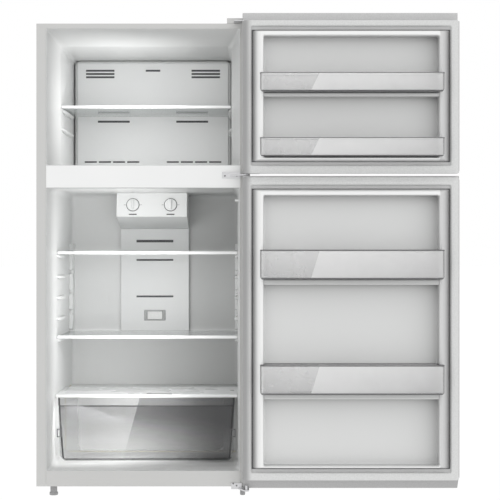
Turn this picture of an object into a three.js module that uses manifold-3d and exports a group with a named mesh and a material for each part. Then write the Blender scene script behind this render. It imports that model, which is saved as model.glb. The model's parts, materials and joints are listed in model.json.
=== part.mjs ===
// A top freezer refrigerator with both doors open, built of separate pieces.
// Millimetres, +Z up. Pieces are drawn with x from the cabinet's middle, y back from its front
// and z from the floor, and the last lines move the whole to the middle of its base.
import * as THREE from "three";
import { mergeVertices } from "three/addons/utils/BufferGeometryUtils.js";
import { ConvexGeometry } from "three/addons/geometries/ConvexGeometry.js";
import Module from "manifold-3d";

const wasm = await Module();
wasm.setup();

// Cabinet
const cabinetWidth = 750;
const cabinetDepth = 640;
const cabinetBottom = 33;
const cabinetTop = 1658;
const sideWall = 36; // from the outside to the liners' mouths
const topWall = 19;
const backWall = 65;
const steel = 1.2;
const liner = 2;
const shellLip = 33.5;
const shellTopLip = 16.5;
const baseRise = 54; // height of the front base rail
const fridgeHeight = 995; // mouth of the lower compartment
const mullionHeight = 78;

// Lower compartment
const fridgeDraft = 8;
const fridgeFlare = 40;
const fridgeFloorRise = 6;
const humpDepth = 180; // the liner's step over the machine room
const humpHeight = 246;
const shelfSetback = 180;
const shelfThickness = 11.7;
const ledgeDepth = 12;
const ledgeHeight = 9;
const ledgeLength = 160;
const shelfLevels = 5;
const lowShelfRise = 199; // from the crisper's cover to the lowest shelf
const topShelfDrop = 100; // from the control housing down to the highest shelf

// Upper compartment
const freezerDraft = 31;
const freezerFlare = 127;
const freezerTopDrop = 43;
const freezerShelfDrop = 3; // below the middle of the room's height
const freezerLedgePitch = 70;
const freezerShelfSetback = 130;
const coverDepth = 120; // the evaporator's space behind its cover
const coverBevel = 30;

// Crisper
const drawerSetback = 130;
const drawerHeight = 229.7;
const drawerTaper = 42;
const drawerWall = 2.5;
const coverSetback = 140;
const crisperCoverThickness = 11;

// Controls
const panelHalf = 134;
const ductDepth = 21;
const ductHeight = 419;
const controlDrop = 134;
const controlFaceDrop = 91;
const controlReachLow = 190;
const controlReachHigh = 175;
const dialRadius = 23.5;
const dialSpacing = 72;
const dialRise = 44;

// Machine room
const machineDepth = 200;
const machineTop = 290;
const panelRise = 11;

// Doors
const doorThickness = 60;
const doorSkin = 1;
const doorGap = 10.5;
const gapRise = 3.75; // of the gap's middle above the mullion's middle
const gasketThickness = 11.4;
const gasketWidth = 18;
const openGap = 8; // from the cabinet to the door's outer face when open
const pinFromEdge = 13; // hinge line in from the door's edge
const pinRadius = 4;
const doorStandOff = 12; // door's inner face to the cabinet when shut
const linerSheet = 2;
const capDepth = 12;
const frameInset = 37;
const frameSlope = 26;
const frameHeight = 35;
const frameCrest = 9;
const frameEndInset = 32;
const panelSink = 10;
const ridgeHeight = 38;
const binWall = 2.5;
const binReach = 70;
const binOverlap = 12; // the bin's wide front over the raised frame
const binPinch = 2;

// Fits
const touching = 0.3;
const running = 0.4;
const sliding = 1.5;

// Places worked out from those sizes
const half = cabinetWidth / 2;
const mouth = half - sideWall;
const fridgeLow = cabinetBottom + baseRise;
const fridgeHigh = fridgeLow + fridgeHeight;
const freezerLow = fridgeHigh + mullionHeight;
const freezerHigh = cabinetTop - topWall;
const linerBack = cabinetDepth - backWall;
const fridgeHalf = mouth - fridgeDraft;
const fridgeFloor = fridgeLow + fridgeFloorRise;
const fridgeCeiling = fridgeHigh - 1;
const humpFace = linerBack - humpDepth;
const humpTop = fridgeLow + humpHeight;
const freezerHalf = mouth - freezerDraft;
const freezerCeiling = freezerHigh - freezerTopDrop;
const coverFace = linerBack - coverDepth;
const ductFace = linerBack - ductDepth;
const controlLow = fridgeCeiling - controlDrop;
const ductLow = controlLow - ductHeight;
const crisperTop = humpTop + 7;
const lowShelf = crisperTop + lowShelfRise;
const highShelf = controlLow - topShelfDrop;
const shelfPitch = (highShelf - lowShelf) / (shelfLevels - 1);
const freezerShelf = (freezerLow + freezerCeiling) / 2 - freezerShelfDrop;
const pinFromFront = (doorStandOff + doorThickness + openGap) / 2;
const pinX = half - pinFromEdge;
const pinY = -pinFromFront;
const pinDepth = doorStandOff + doorThickness - pinFromFront;
const linerStart = pinDepth + 8; // where a door's liner begins, behind its hinge pin
const machineFront = cabinetDepth - machineDepth;
const panelLow = cabinetBottom + panelRise;
const fridgeDoor = {
  low: cabinetBottom - 1.5,
  high: fridgeHigh + (mullionHeight - doorGap) / 2 + gapRise,
  innerLow: fridgeLow - 11.5,
  innerHigh: fridgeHigh + 24,
  lowDepth: pinDepth + 13,
  highDepth: pinDepth + 20,
  shares: [0.267, 0.689],
  ridgeThickness: 19,
  binHeight: 101.5,
};
const freezerDoor = {
  low: fridgeDoor.high + doorGap,
  high: cabinetTop + 32,
  innerLow: freezerLow - 24,
  innerHigh: cabinetTop - 3,
  lowDepth: pinDepth + 20,
  highDepth: pinDepth - 12,
  shares: [0.533],
  ridgeThickness: 13,
  binHeight: 64,
};

// A closed three.js geometry as a solid that can be joined and cut.
function solid(geometry) {
  const bare = geometry.clone();
  bare.deleteAttribute("normal");
  bare.deleteAttribute("uv");
  const merged = mergeVertices(bare, 1e-4);
  const vertProperties = merged.attributes.position.array;
  const triVerts = new Uint32Array(merged.index.array);
  return new wasm.Manifold(new wasm.Mesh({ numProp: 3, vertProperties, triVerts }));
}

// A box given by its range along each axis.
function block([x0, x1], [y0, y1], [z0, z1]) {
  const geometry = new THREE.BoxGeometry(x1 - x0, y1 - y0, z1 - z0);
  geometry.translate((x0 + x1) / 2, (y0 + y1) / 2, (z0 + z1) / 2);
  return solid(geometry);
}

// The convex solid round a set of points.
function hull(points) {
  return solid(new ConvexGeometry(points.map((point) => new THREE.Vector3(...point))));
}

// A tapered box from one rectangle in x and z at y0 to another at y1.
function taper(from, y0, to, y1) {
  const corners = ({ x, z }, y) => x.flatMap((a) => z.map((b) => [a, y, b]));
  return hull([...corners(from, y0), ...corners(to, y1)]);
}

// A flat outline of y and z points carried along x.
function alongX(outline, [x0, x1]) {
  const shape = new THREE.Shape(outline.map(([y, z]) => new THREE.Vector2(y, z)));
  const geometry = new THREE.ExtrudeGeometry(shape, { depth: x1 - x0, bevelEnabled: false });
  const axes = new THREE.Matrix4().makeBasis(
    new THREE.Vector3(0, 1, 0),
    new THREE.Vector3(0, 0, 1),
    new THREE.Vector3(1, 0, 0),
  );
  geometry.applyMatrix4(axes);
  geometry.translate(x0, 0, 0);
  return solid(geometry);
}

// A round bar of a radius between two heights, standing along z and then turned to an axis.
function bar(radius, [from, to], [x, y, z], axis = "z", sides = 24) {
  const geometry = new THREE.CylinderGeometry(radius, radius, to - from, sides);
  geometry.translate(0, (from + to) / 2, 0);
  if (axis === "z") geometry.rotateX(Math.PI / 2);
  if (axis === "x") geometry.rotateZ(-Math.PI / 2);
  geometry.translate(x, y, z);
  return solid(geometry);
}

// A profile of radius and height points, first and last on the axis, turned about z.
function turned(profile, sides = 32) {
  const points = profile.map(([radius, height]) => new THREE.Vector2(radius, height));
  const geometry = new THREE.LatheGeometry(points, sides);
  geometry.rotateX(Math.PI / 2);
  return solid(geometry);
}

function joinAll(solids) {
  return solids.reduce((whole, next) => whole.add(next));
}

// A named mesh with its own material.
function piece(name, [color, roughness, metalness], shape) {
  const { vertProperties, triVerts } = shape.getMesh();
  const geometry = new THREE.BufferGeometry();
  geometry.setAttribute("position", new THREE.Float32BufferAttribute(vertProperties, 3));
  geometry.setIndex(Array.from(triVerts));
  geometry.computeVertexNormals();
  const material = new THREE.MeshStandardMaterial({ color, roughness, metalness });
  const mesh = new THREE.Mesh(geometry, material);
  mesh.name = name;
  return mesh;
}

const painted = [0xcacac9, 0.4, 0.1];
const linerWhite = [0xeef0f0, 0.35, 0];
const clear = [0xd8dcdc, 0.1, 0];
const glass = [0xdfe6e4, 0.05, 0];
const foam = [0xe9dfb4, 0.9, 0];
const zinc = [0xb4b6b8, 0.35, 0.9];
const galvanised = [0xa8abad, 0.5, 0.7];
const blackPaint = [0x1c1c1d, 0.5, 0.2];
const aluminium = [0xc4c6c8, 0.4, 0.9];
const gasketGrey = [0xd4d4d3, 0.7, 0];
const darkPlastic = [0x4a4b4d, 0.5, 0];
const rubber = [0x2a2a2b, 0.8, 0];

const everyX = [-half - 1, half + 1];

// The lower cooled space, grown outwards by a wall: a flared mouth, then a room with a step.
function fridgeSpace(grow) {
  const from = { x: [-mouth - grow, mouth + grow], z: [fridgeLow - grow, fridgeHigh + grow] };
  const wide = [-fridgeHalf - grow, fridgeHalf + grow];
  const to = { x: wide, z: [fridgeFloor - grow, fridgeCeiling + grow] };
  const flare = taper(from, 0, to, fridgeFlare);
  const low = block(wide, [0, humpFace + grow], to.z);
  const high = block(wide, [0, linerBack + grow], [humpTop - grow, fridgeCeiling + grow]);
  return joinAll([flare, low, high]);
}

// The upper cooled space, grown outwards by a wall: a flared mouth, then a straight room.
function freezerSpace(grow) {
  const from = { x: [-mouth - grow, mouth + grow], z: [freezerLow - grow, freezerHigh + grow] };
  const wide = [-freezerHalf - grow, freezerHalf + grow];
  const to = { x: wide, z: [freezerLow - grow, freezerCeiling + grow] };
  return taper(from, 0, to, freezerFlare).add(block(wide, [0, linerBack + grow], to.z));
}

const mouthCut = [-1, 0.01];
const lipHalf = half - shellLip - touching;

function cabinetShell() {
  const depth = [0, cabinetDepth - steel - touching];
  const outside = block([-half, half], depth, [cabinetBottom, cabinetTop]);
  const inside = block([steel - half, half - steel], [steel, cabinetDepth], [0, cabinetTop - steel]);
  const opening = [shellLip - half, half - shellLip];
  const front = block(opening, [-1, 2 * steel], [0, cabinetTop - shellTopLip]);
  return outside.subtract(inside).subtract(front);
}

function rearPanel() {
  return block([-half, half], [cabinetDepth - steel, cabinetDepth], [machineTop, cabinetTop]);
}

const drainX = 60;
const drainY = linerBack + 30;
const drainRadius = 8;
const drainEnd = 240;

function drainTube(radius = drainRadius) {
  const top = freezerLow - liner - touching;
  const outside = bar(radius, [drainEnd, top], [drainX, drainY, 0]);
  if (radius > drainRadius) return outside;
  return outside.subtract(bar(radius - 2, [drainEnd - 1, top + 1], [drainX, drainY, 0]));
}

const switchY = 24;
const switchZ = fridgeCeiling - 43;
const switchReach = 10;

// The space that the light switch takes in the right wall, grown by a gap.
function switchSpace(gap) {
  const reach = switchReach + gap;
  const ySpan = [switchY - reach, switchY + reach];
  return block([fridgeHalf - 4 - gap, mouth + 9 + gap], ySpan, [switchZ - reach, switchZ + reach]);
}

function cabinetFoam() {
  const side = half - steel - touching;
  const back = cabinetDepth - steel - touching;
  const gap = liner + touching;
  const zSpan = [panelLow + steel + touching, cabinetTop - steel - touching];
  const filled = block([-side, side], [gap, back], zSpan);
  const roomY = [machineFront - touching, cabinetDepth];
  const machineRoom = block(everyX, roomY, [0, machineTop + steel + touching]);
  return filled
    .subtract(fridgeSpace(gap))
    .subtract(freezerSpace(gap))
    .subtract(machineRoom)
    .subtract(drainTube(drainRadius + touching))
    .subtract(switchSpace(touching));
}

// A pair of ledges on the two side walls.
function ledges(wallHalf, reach, ySpan, top) {
  const zSpan = [top - ledgeHeight, top];
  const right = block([wallHalf - reach, wallHalf + liner / 2], ySpan, zSpan);
  const left = block([-wallHalf - liner / 2, reach - wallHalf], ySpan, zSpan);
  return right.add(left);
}

const seatLedgeGap = 9;

function fridgeLiner() {
  const shelfSpan = [shelfSetback + 10, shelfSetback + 10 + ledgeLength];
  const shelfLedges = Array.from({ length: shelfLevels }, (_, level) =>
    ledges(fridgeHalf, ledgeDepth, shelfSpan, lowShelf + level * shelfPitch),
  );
  const coverTop = crisperTop - crisperCoverThickness - touching;
  const coverSpan = [coverSetback + 20, humpFace];
  const coverLedge = ledges(fridgeHalf, seatLedgeGap - touching, coverSpan, coverTop);
  const runners = [-1, 1].map((side) => {
    const middle = (side * fridgeHalf * 3) / 4;
    const top = crisperTop - crisperCoverThickness - drawerHeight - 2 * touching;
    const ySpan = [drawerSetback + 20, humpFace - 20];
    return block([middle - 10, middle + 10], ySpan, [fridgeFloor - 1, top]);
  });
  const flange = block([-lipHalf, lipHalf], [0, liner], [fridgeLow, fridgeHigh]);
  return fridgeSpace(liner)
    .add(flange)
    .subtract(fridgeSpace(0))
    .subtract(block([-mouth, mouth], mouthCut, [fridgeLow, fridgeHigh]))
    .subtract(block(everyX, [-1, liner + touching], [fridgeHigh - touching, freezerLow]))
    .subtract(block(everyX, [-1, liner + touching], [0, fridgeLow + touching]))
    .add(joinAll([...shelfLedges, coverLedge, ...runners]))
    .subtract(switchSpace(touching));
}

function freezerLiner() {
  const ySpan = [freezerShelfSetback + 20, coverFace - 15];
  const seats = [0, 1].map((row) =>
    ledges(freezerHalf, ledgeDepth, ySpan, freezerShelf - touching - row * freezerLedgePitch),
  );
  const flangeTop = cabinetTop - shellTopLip - touching;
  const flange = block([-lipHalf, lipHalf], [0, liner], [freezerLow, flangeTop]);
  return freezerSpace(liner)
    .add(flange)
    .subtract(freezerSpace(0))
    .subtract(block([-mouth, mouth], mouthCut, [freezerLow, freezerHigh]))
    .subtract(block(everyX, [-1, liner + touching], [0, freezerLow + touching]))
    .add(joinAll(seats));
}

function mullionCover() {
  return block([-lipHalf, lipHalf], [0, liner], [fridgeHigh, freezerLow]);
}

function frontBaseRail() {
  const face = block([-lipHalf, lipHalf], [0, liner], [cabinetBottom, fridgeLow]);
  return face.add(block([-lipHalf, lipHalf], [0, 60], [cabinetBottom, cabinetBottom + liner]));
}

function bottomPanel() {
  const start = liner + touching;
  const end = cabinetDepth - steel - 2 * touching;
  const outline = [
    [start, panelLow],
    [machineFront + steel, panelLow],
    [machineFront + steel, machineTop],
    [end, machineTop],
    [end, machineTop + steel],
    [machineFront, machineTop + steel],
    [machineFront, panelLow + steel],
    [start, panelLow + steel],
  ];
  const side = half - steel - touching;
  const hole = bar(drainRadius + touching, [machineTop - 5, machineTop + 5], [drainX, drainY, 0]);
  return alongX(outline, [-side, side]).subtract(hole);
}

const baseTop = cabinetBottom + 8;
const rollerX = half - 75;
const rollerY = cabinetDepth - 40;
const rollerRadius = 16;
const rollerWidth = 20;
const axleRadius = 3;

function compressorBase() {
  const side = half - 15;
  const plate = block([-side, side], [machineFront + 8, cabinetDepth - 15], [baseTop - 3, baseTop]);
  const ears = [-1, 1].flatMap((wall) =>
    [-1, 1].map((end) => {
      const middle = wall * rollerX + end * (rollerWidth / 2 + 3);
      const zSpan = [rollerRadius - 8, baseTop - 1];
      const ear = block([middle - 1.5, middle + 1.5], [rollerY - 10, rollerY + 10], zSpan);
      return ear.subtract(bar(axleRadius + running, [-9, 9], [middle, rollerY, rollerRadius], "x"));
    }),
  );
  return joinAll([plate, ...ears]);
}

function roller(side) {
  const place = [side * rollerX, rollerY, rollerRadius];
  const wheel = bar(rollerRadius, [-rollerWidth / 2, rollerWidth / 2], place, "x", 32);
  const axleHalf = rollerWidth / 2 + 7;
  return wheel.add(bar(axleRadius, [-axleHalf, axleHalf], place, "x"));
}

const compressorX = -170;
const compressorY = machineFront + machineDepth / 2;

function compressor() {
  const profile = [
    [0, 0],
    [58, 0],
    [60, 12],
    [70, 30],
    [75, 60],
    [76, 84],
    [76, 92],
    [73, 120],
    [62, 146],
    [40, 160],
    [0, 166],
  ];
  return turned(profile, 36).translate([compressorX, compressorY, baseTop + touching]);
}

const machineCoverY = cabinetDepth - 11;
const glandX = -half + 90;
const glandZ = machineTop - 40;
const glandRadius = 12;

const airSlots = { rows: 5, columns: 5, pitchX: 100, pitchZ: 26, wide: 70, high: 8, rise: 40 };

function machineCover() {
  const zSpan = [baseTop + touching, machineTop - touching];
  const side = half - steel - liner;
  const through = [machineCoverY - 3, machineCoverY + 5];
  const slots = [];
  for (let row = 0; row < airSlots.rows; row += 1) {
    for (let column = 0; column < airSlots.columns; column += 1) {
      const x = (column - (airSlots.columns - 1) / 2) * airSlots.pitchX;
      const z = baseTop + airSlots.rise + row * airSlots.pitchZ;
      slots.push(block([x - airSlots.wide / 2, x + airSlots.wide / 2], through, [z, z + airSlots.high]));
    }
  }
  const hole = bar(glandRadius + touching, [-9, 9], [glandX, machineCoverY, glandZ], "y");
  const plate = block([-side, side], [machineCoverY, machineCoverY + steel], zSpan);
  return plate.subtract(joinAll([...slots, hole]));
}

function cordGland() {
  const place = [glandX, machineCoverY, glandZ];
  const body = bar(glandRadius, [-6, 6], place, "y");
  const flange = bar(glandRadius + 4, [steel + touching, steel + touching + 3], place, "y");
  return body.add(flange).subtract(bar(5, [-20, 20], place, "y"));
}

const coverHalf = freezerHalf - 18;
const coverTopZ = freezerCeiling - 12;

const ventSlots = { from: 141, to: 31, drop: 28, pitch: 12.6, high: 7.5 }; // in from the sides
const returnSlots = { from: 200, to: 77, rise: 199, high: 8 };
const toeSlots = { first: 53, margin: 18, bridge: 8, rise: 43, high: 6, perSide: 4 };
const middleSlotHalf = 28;

// A slot through the evaporator's cover on one side of its middle.
function coverSlot(side, [x0, x1], z, high) {
  const across = side > 0 ? [x0, x1] : [-x1, -x0];
  return block(across, [coverFace - 1, coverFace + 15], [z - high / 2, z + high / 2]);
}

// Two banks high up with one slot between them, one row lower down, one at the toe.
function coverSlots() {
  const vent = [coverHalf - ventSlots.from, coverHalf - ventSlots.to];
  const firstVent = coverTopZ - ventSlots.drop;
  const back = [coverHalf - returnSlots.from, coverHalf - returnSlots.to];
  const toePitch = (coverHalf - toeSlots.margin - toeSlots.first) / toeSlots.perSide;
  const slots = [coverSlot(1, [-middleSlotHalf, middleSlotHalf], firstVent, ventSlots.high)];
  for (const side of [-1, 1]) {
    for (const row of [0, 1, 2]) {
      slots.push(coverSlot(side, vent, firstVent - row * ventSlots.pitch, ventSlots.high));
    }
    slots.push(coverSlot(side, back, freezerLow + returnSlots.rise, returnSlots.high));
    for (let step = 0; step < toeSlots.perSide; step += 1) {
      const start = toeSlots.first + step * toePitch;
      const toe = [start, start + toePitch - toeSlots.bridge];
      slots.push(coverSlot(side, toe, freezerLow + toeSlots.rise, toeSlots.high));
    }
  }
  return joinAll(slots);
}

function evaporatorCover() {
  const shape = (inset) =>
    taper(
      { x: [inset - coverHalf, coverHalf - inset], z: [freezerLow + 30 + inset, coverTopZ - inset] },
      coverFace + inset,
      {
        x: [sliding + inset - freezerHalf, freezerHalf - sliding - inset],
        z: [freezerLow + sliding + inset, freezerCeiling - sliding - inset],
      },
      coverFace + coverBevel + (inset > 0 ? 1 : 0),
    );
  return shape(0).subtract(shape(liner)).subtract(coverSlots());
}

const coilHalf = freezerHalf - 68;
const coilY = coverFace + 65;
const fanZ = freezerCeiling - 116;
const fanY = coverFace + 40;
const fanRadius = 55;

const coilFins = { eachSide: 6, thickness: 2, reach: 28 };
const coilTubes = { count: 4, radius: 5, overhang: 8, margin: 20, sides: 6 };

function evaporatorCoil() {
  const parts = [];
  const low = freezerLow + 40;
  const high = fanZ - fanRadius - 40;
  const depth = [coilY - coilFins.reach, coilY + coilFins.reach];
  for (let step = -coilFins.eachSide; step <= coilFins.eachSide; step += 1) {
    const x = (step * coilHalf) / coilFins.eachSide;
    parts.push(block([x - coilFins.thickness / 2, x + coilFins.thickness / 2], depth, [low, high]));
  }
  const end = coilHalf + coilTubes.overhang;
  const rise = (high - low - 2 * coilTubes.margin) / (coilTubes.count - 1);
  for (let row = 0; row < coilTubes.count; row += 1) {
    const z = low + coilTubes.margin + row * rise;
    parts.push(bar(coilTubes.radius, [-end, end], [0, coilY, z], "x", coilTubes.sides));
  }
  return joinAll(parts);
}

const fanBlades = { count: 7, pitch: 35, reach: 13 };
const fanShaft = 2.5;

function evaporatorFan() {
  const hub = bar(17, [-10, 10], [0, fanY, fanZ], "y", 32);
  const { count, pitch, reach } = fanBlades;
  const blades = Array.from({ length: count }, (_, index) => {
    const blade = block([12, fanRadius], [-1, 1], [-reach, reach]).rotate([pitch, 0, 0]);
    return blade.rotate([0, (360 / count) * index, 0]).translate([0, fanY, fanZ]);
  });
  const shaft = bar(fanShaft, [10, 24], [0, fanY, fanZ], "y", 16);
  return joinAll([hub, ...blades, shaft]);
}

function fanMotor() {
  const back = fanY + 14;
  const body = bar(22, [0, 30], [0, back, fanZ], "y", 32);
  const armSpan = [-fanRadius - 20, fanRadius + 20];
  const arm = block(armSpan, [back + 12, back + 18], [fanZ - 8, fanZ + 8]);
  const feet = [-1, 1].map((side) => {
    const end = side * (fanRadius + 16);
    return block([end - 4, end + 4], [back + 12, linerBack - touching], [fanZ - 8, fanZ + 8]);
  });
  const bore = bar(fanShaft + running, [-5, 14], [0, back, fanZ], "y", 16);
  return joinAll([body, arm, ...feet]).subtract(bore);
}

const panelWall = 2.5;
const outletHalf = 72.5;
const outlets = [
  { drop: 49, high: 9.5 },
  { drop: 123, high: 7 },
  { drop: 267, high: 7 },
];
const lampZ = ductLow + 78;
const lampHalf = 29;
const lampReach = 15;

function airDuctPanel() {
  const zSpan = [ductLow, controlLow - touching];
  const outside = block([-panelHalf, panelHalf], [ductFace, linerBack - touching], zSpan);
  const inner = [panelWall - panelHalf, panelHalf - panelWall];
  const innerZ = [zSpan[0] + panelWall, zSpan[1] - panelWall];
  const inside = block(inner, [ductFace + panelWall, linerBack + 1], innerZ);
  const through = [ductFace - 1, ductFace + 2 * panelWall];
  const slots = outlets.map(({ drop, high }) => {
    const z = controlLow - drop;
    return block([-outletHalf, outletHalf], through, [z - high / 2, z + high / 2]);
  });
  const lampHole = block([-lampHalf, lampHalf], through, [lampZ - lampReach, lampZ + lampReach]);
  return outside.subtract(inside).subtract(joinAll([...slots, lampHole]));
}

function lampLens() {
  const side = lampHalf - touching;
  const reach = lampReach - touching;
  const face = block([-side, side], [ductFace - 1, ductFace + 9], [lampZ - reach, lampZ + reach]);
  const innerX = [liner - side, side - liner];
  const innerZ = [lampZ - reach + liner, lampZ + reach - liner];
  return face.subtract(block(innerX, [ductFace + 1, ductFace + 10], innerZ));
}

const faceLean = Math.atan2(controlReachLow - controlReachHigh, controlFaceDrop);
const faceLowY = linerBack - controlReachLow;
const faceLowZ = fridgeCeiling - controlFaceDrop;
const dialZ = faceLowZ + dialRise;
const dialY = faceLowY + dialRise * Math.tan(faceLean);
const shaftRadius = 4;

// The housing is a shell open towards the ceiling.
function controlHousing() {
  const wall = panelWall;
  const top = fridgeCeiling - touching;
  const back = linerBack - touching;
  const outside = [
    [faceLowY, faceLowZ],
    [ductFace, controlLow],
    [back, controlLow],
    [back, top],
    [linerBack - controlReachHigh, top],
  ];
  const inside = [
    [faceLowY + wall, faceLowZ + wall],
    [ductFace, controlLow + wall],
    [back - wall, controlLow + wall],
    [back - wall, top + 9],
    [linerBack - controlReachHigh + wall + 1, top + 9],
  ];
  const holes = [-1, 1].map((side) =>
    bar(shaftRadius + running, [-20, 20], [0, 0, 0], "z")
      .rotate([90 - THREE.MathUtils.radToDeg(faceLean), 0, 0])
      .translate([side * dialSpacing, dialY, dialZ]),
  );
  const shell = alongX(outside, [-panelHalf, panelHalf]);
  const hollow = alongX(inside, [wall - panelHalf, panelHalf - wall]);
  return shell.subtract(hollow).subtract(joinAll(holes));
}

// A dial about its own axis: a skirt, a grip bar and a shaft through the housing.
function dial() {
  const skirt = bar(dialRadius, [0.5, 6], [0, 0, 0], "z", 40);
  const grip = block([-4.5, 4.5], [-dialRadius + 3, dialRadius - 3], [5, 16]);
  return joinAll([skirt, grip, bar(shaftRadius, [-11, 1], [0, 0, 0], "z")]);
}

const damperY = linerBack - 60;
const damperZ = fridgeCeiling - 50;
const damperReach = 34;

// The flap that shares cold air, half open, on its pivot bar.
function airDamper() {
  const flap = block([-55, 55], [0, damperReach], [-1.5, 1.5]);
  return flap.add(bar(3, [-60, 60], [0, 0, 0], "x", 16)).rotate([45, 0, 0]);
}

function shelfSupport(side) {
  const front = linerBack - 75;
  const outline = [
    [linerBack - touching, lowShelf - 10],
    [linerBack - touching, highShelf + 40],
    [front, highShelf + 40],
  ];
  for (let level = shelfLevels - 1; level >= 0; level -= 1) {
    const z = lowShelf + level * shelfPitch;
    outline.push([front, z + 16], [front + 18, z + 12], [front + 18, z], [front, z]);
  }
  outline.push([front, lowShelf - 10]);
  const near = side * (fridgeHalf - touching);
  const far = side * (fridgeHalf - 14);
  return alongX(outline.reverse(), [Math.min(near, far), Math.max(near, far)]);
}

const shelfHalf = fridgeHalf - sliding;
const trimDepth = 14;

function shelfGlass(z) {
  const back = ductFace - 4;
  const front = shelfSetback + trimDepth + touching;
  const rearHalf = fridgeHalf - 16;
  const notchY = linerBack - 77;
  const plate = block([-shelfHalf, shelfHalf], [front, notchY], [z + touching + 4, z + 8]);
  return plate.add(block([-rearHalf, rearHalf], [notchY - 1, back], [z + touching + 4, z + 8]));
}

function shelfTrim(z) {
  const ySpan = [shelfSetback, shelfSetback + trimDepth];
  return block([-shelfHalf, shelfHalf], ySpan, [z + touching, z + shelfThickness]);
}

const freezerShelfHalf = freezerHalf - sliding;

function freezerShelfGlass() {
  const front = freezerShelfSetback + trimDepth + touching;
  const zSpan = [freezerShelf + 2, freezerShelf + 6];
  return block([-freezerShelfHalf, freezerShelfHalf], [front, coverFace - 5], zSpan);
}

function freezerShelfTrim() {
  const ySpan = [freezerShelfSetback, freezerShelfSetback + trimDepth];
  return block([-freezerShelfHalf, freezerShelfHalf], ySpan, [freezerShelf, freezerShelf + 10]);
}

const crisperHalf = fridgeHalf - seatLedgeGap;
const crisperLow = crisperTop - crisperCoverThickness;
const sliderHalf = 8;
const sliderSlot = { x: [0, 92], y: [coverSetback + 3, coverSetback + 11] };

function crisperCoverFrame() {
  const across = [sliding - fridgeHalf, fridgeHalf - sliding];
  const outside = block(across, [coverSetback, humpFace + 12], [crisperLow, crisperTop]);
  const open = [12 - crisperHalf, crisperHalf - 12];
  const hole = block(open, [coverSetback + 24, humpFace - 15], [0, cabinetTop]);
  const rebate = block(
    [-crisperHalf + 6, crisperHalf - 6],
    [coverSetback + 18, humpFace - 9],
    [crisperTop - 4.6, cabinetTop],
  );
  const slot = block(sliderSlot.x, sliderSlot.y, [crisperTop - 5, cabinetTop]);
  const overHump = block(everyX, [humpFace - 2, cabinetDepth], [0, humpTop + touching]);
  return outside.subtract(joinAll([hole, rebate, slot, overHump]));
}

function crisperCoverGlass() {
  const xSpan = [-crisperHalf + 6 + touching, crisperHalf - 6 - touching];
  const ySpan = [coverSetback + 18 + touching, humpFace - 9 - touching];
  return block(xSpan, ySpan, [crisperTop - 4.3, crisperTop - 0.3]);
}

function humiditySlider() {
  const left = sliderSlot.x[0] + 2;
  const ySpan = [sliderSlot.y[0] + running, sliderSlot.y[1] - running];
  return block([left, left + 2 * sliderHalf], ySpan, [crisperTop - 4.7, crisperTop + 3]);
}

// The drawer narrows towards the back and is open at the top.
function crisperDrawer() {
  const top = crisperLow - touching;
  const low = top - drawerHeight + touching;
  const back = humpFace - 10;
  const shape = (inset, rise) =>
    taper(
      { x: [inset - crisperHalf + running, crisperHalf - running - inset], z: [low + inset, top + rise] },
      drawerSetback + inset,
      {
        x: [inset - crisperHalf + drawerTaper, crisperHalf - drawerTaper - inset],
        z: [low + 3 + inset, top + rise],
      },
      back - inset,
    );
  return shape(0, 0).subtract(shape(drawerWall, 1));
}

function topHingeBracket() {
  const zSpan = [cabinetTop + touching, cabinetTop + touching + 3.7];
  const plate = block([pinX - 65, pinX - 6], [3, 57], zSpan);
  const strap = block([pinX - 42, pinX - 17], [pinY - 10, 20], zSpan);
  const reach = block([pinX - 42, pinX], [pinY - 10, pinY + 10], zSpan);
  const round = bar(10, zSpan, [pinX, pinY, 0], "z", 32);
  const pin = bar(pinRadius, [cabinetTop - 12, cabinetTop + 1], [pinX, pinY, 0]);
  return joinAll([plate, strap, reach, round, pin]);
}

function topHingeCover() {
  const outside = block([pinX - 68, pinX - 3], [0, 60], [cabinetTop + touching, cabinetTop + 19]);
  const inside = block([pinX - 66, pinX - 5], [2, 58], [cabinetTop, cabinetTop + 17]);
  const front = block([pinX - 44, pinX - 15], [-1, 4], [cabinetTop, cabinetTop + 5]);
  return outside.subtract(joinAll([inside, front]));
}

const middleArm = [fridgeDoor.high + 2.5, fridgeDoor.high + 7.5];

function middleHingeBracket() {
  const plateZ = [middleArm[0] - 7, freezerDoor.innerLow + 1];
  const plate = block([pinX - 85, pinX - 20], [-3.3, -touching], plateZ);
  const armPoints = middleArm.flatMap((z) => [
    [pinX - 62, -touching, z],
    [pinX - 20, -touching, z],
    ...Array.from({ length: 16 }, (_, step) => {
      const angle = (step / 16) * 2 * Math.PI;
      return [pinX + 10 * Math.cos(angle), pinY + 10 * Math.sin(angle), z];
    }),
  ]);
  const pin = bar(pinRadius, [fridgeDoor.high - 12, freezerDoor.low + 14], [pinX, pinY, 0]);
  return joinAll([plate, hull(armPoints), pin]);
}

const footX = pinX - 13;
const footY = 22;
const footStud = 4;
const bracketZ = [fridgeDoor.low - 7.5, fridgeDoor.low - 2.5];

function bottomHingeBracket() {
  const plate = block([pinX - 53, pinX + 10], [-3.3, 60], bracketZ);
  const armPoints = bracketZ.flatMap((z) => [
    [pinX - 30, -1, z],
    [pinX + 10, -1, z],
    ...Array.from({ length: 16 }, (_, step) => {
      const angle = (step / 16) * 2 * Math.PI;
      return [pinX + 10 * Math.cos(angle), pinY + 10 * Math.sin(angle), z];
    }),
  ]);
  const upstand = block([pinX - 53, pinX - 16], [-3.3, -touching], [bracketZ[0], bracketZ[1] + 16]);
  const spacer = block([pinX - 53, pinX - 26], [5, 55], [bracketZ[0], cabinetBottom - touching]);
  const pin = bar(pinRadius, [bracketZ[0], fridgeDoor.low + 12], [pinX, pinY, 0]);
  const hole = bar(footStud + running, [0, cabinetBottom], [footX, footY, 0]);
  return joinAll([plate, hull(armPoints), upstand, spacer, pin]).subtract(hole);
}

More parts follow.
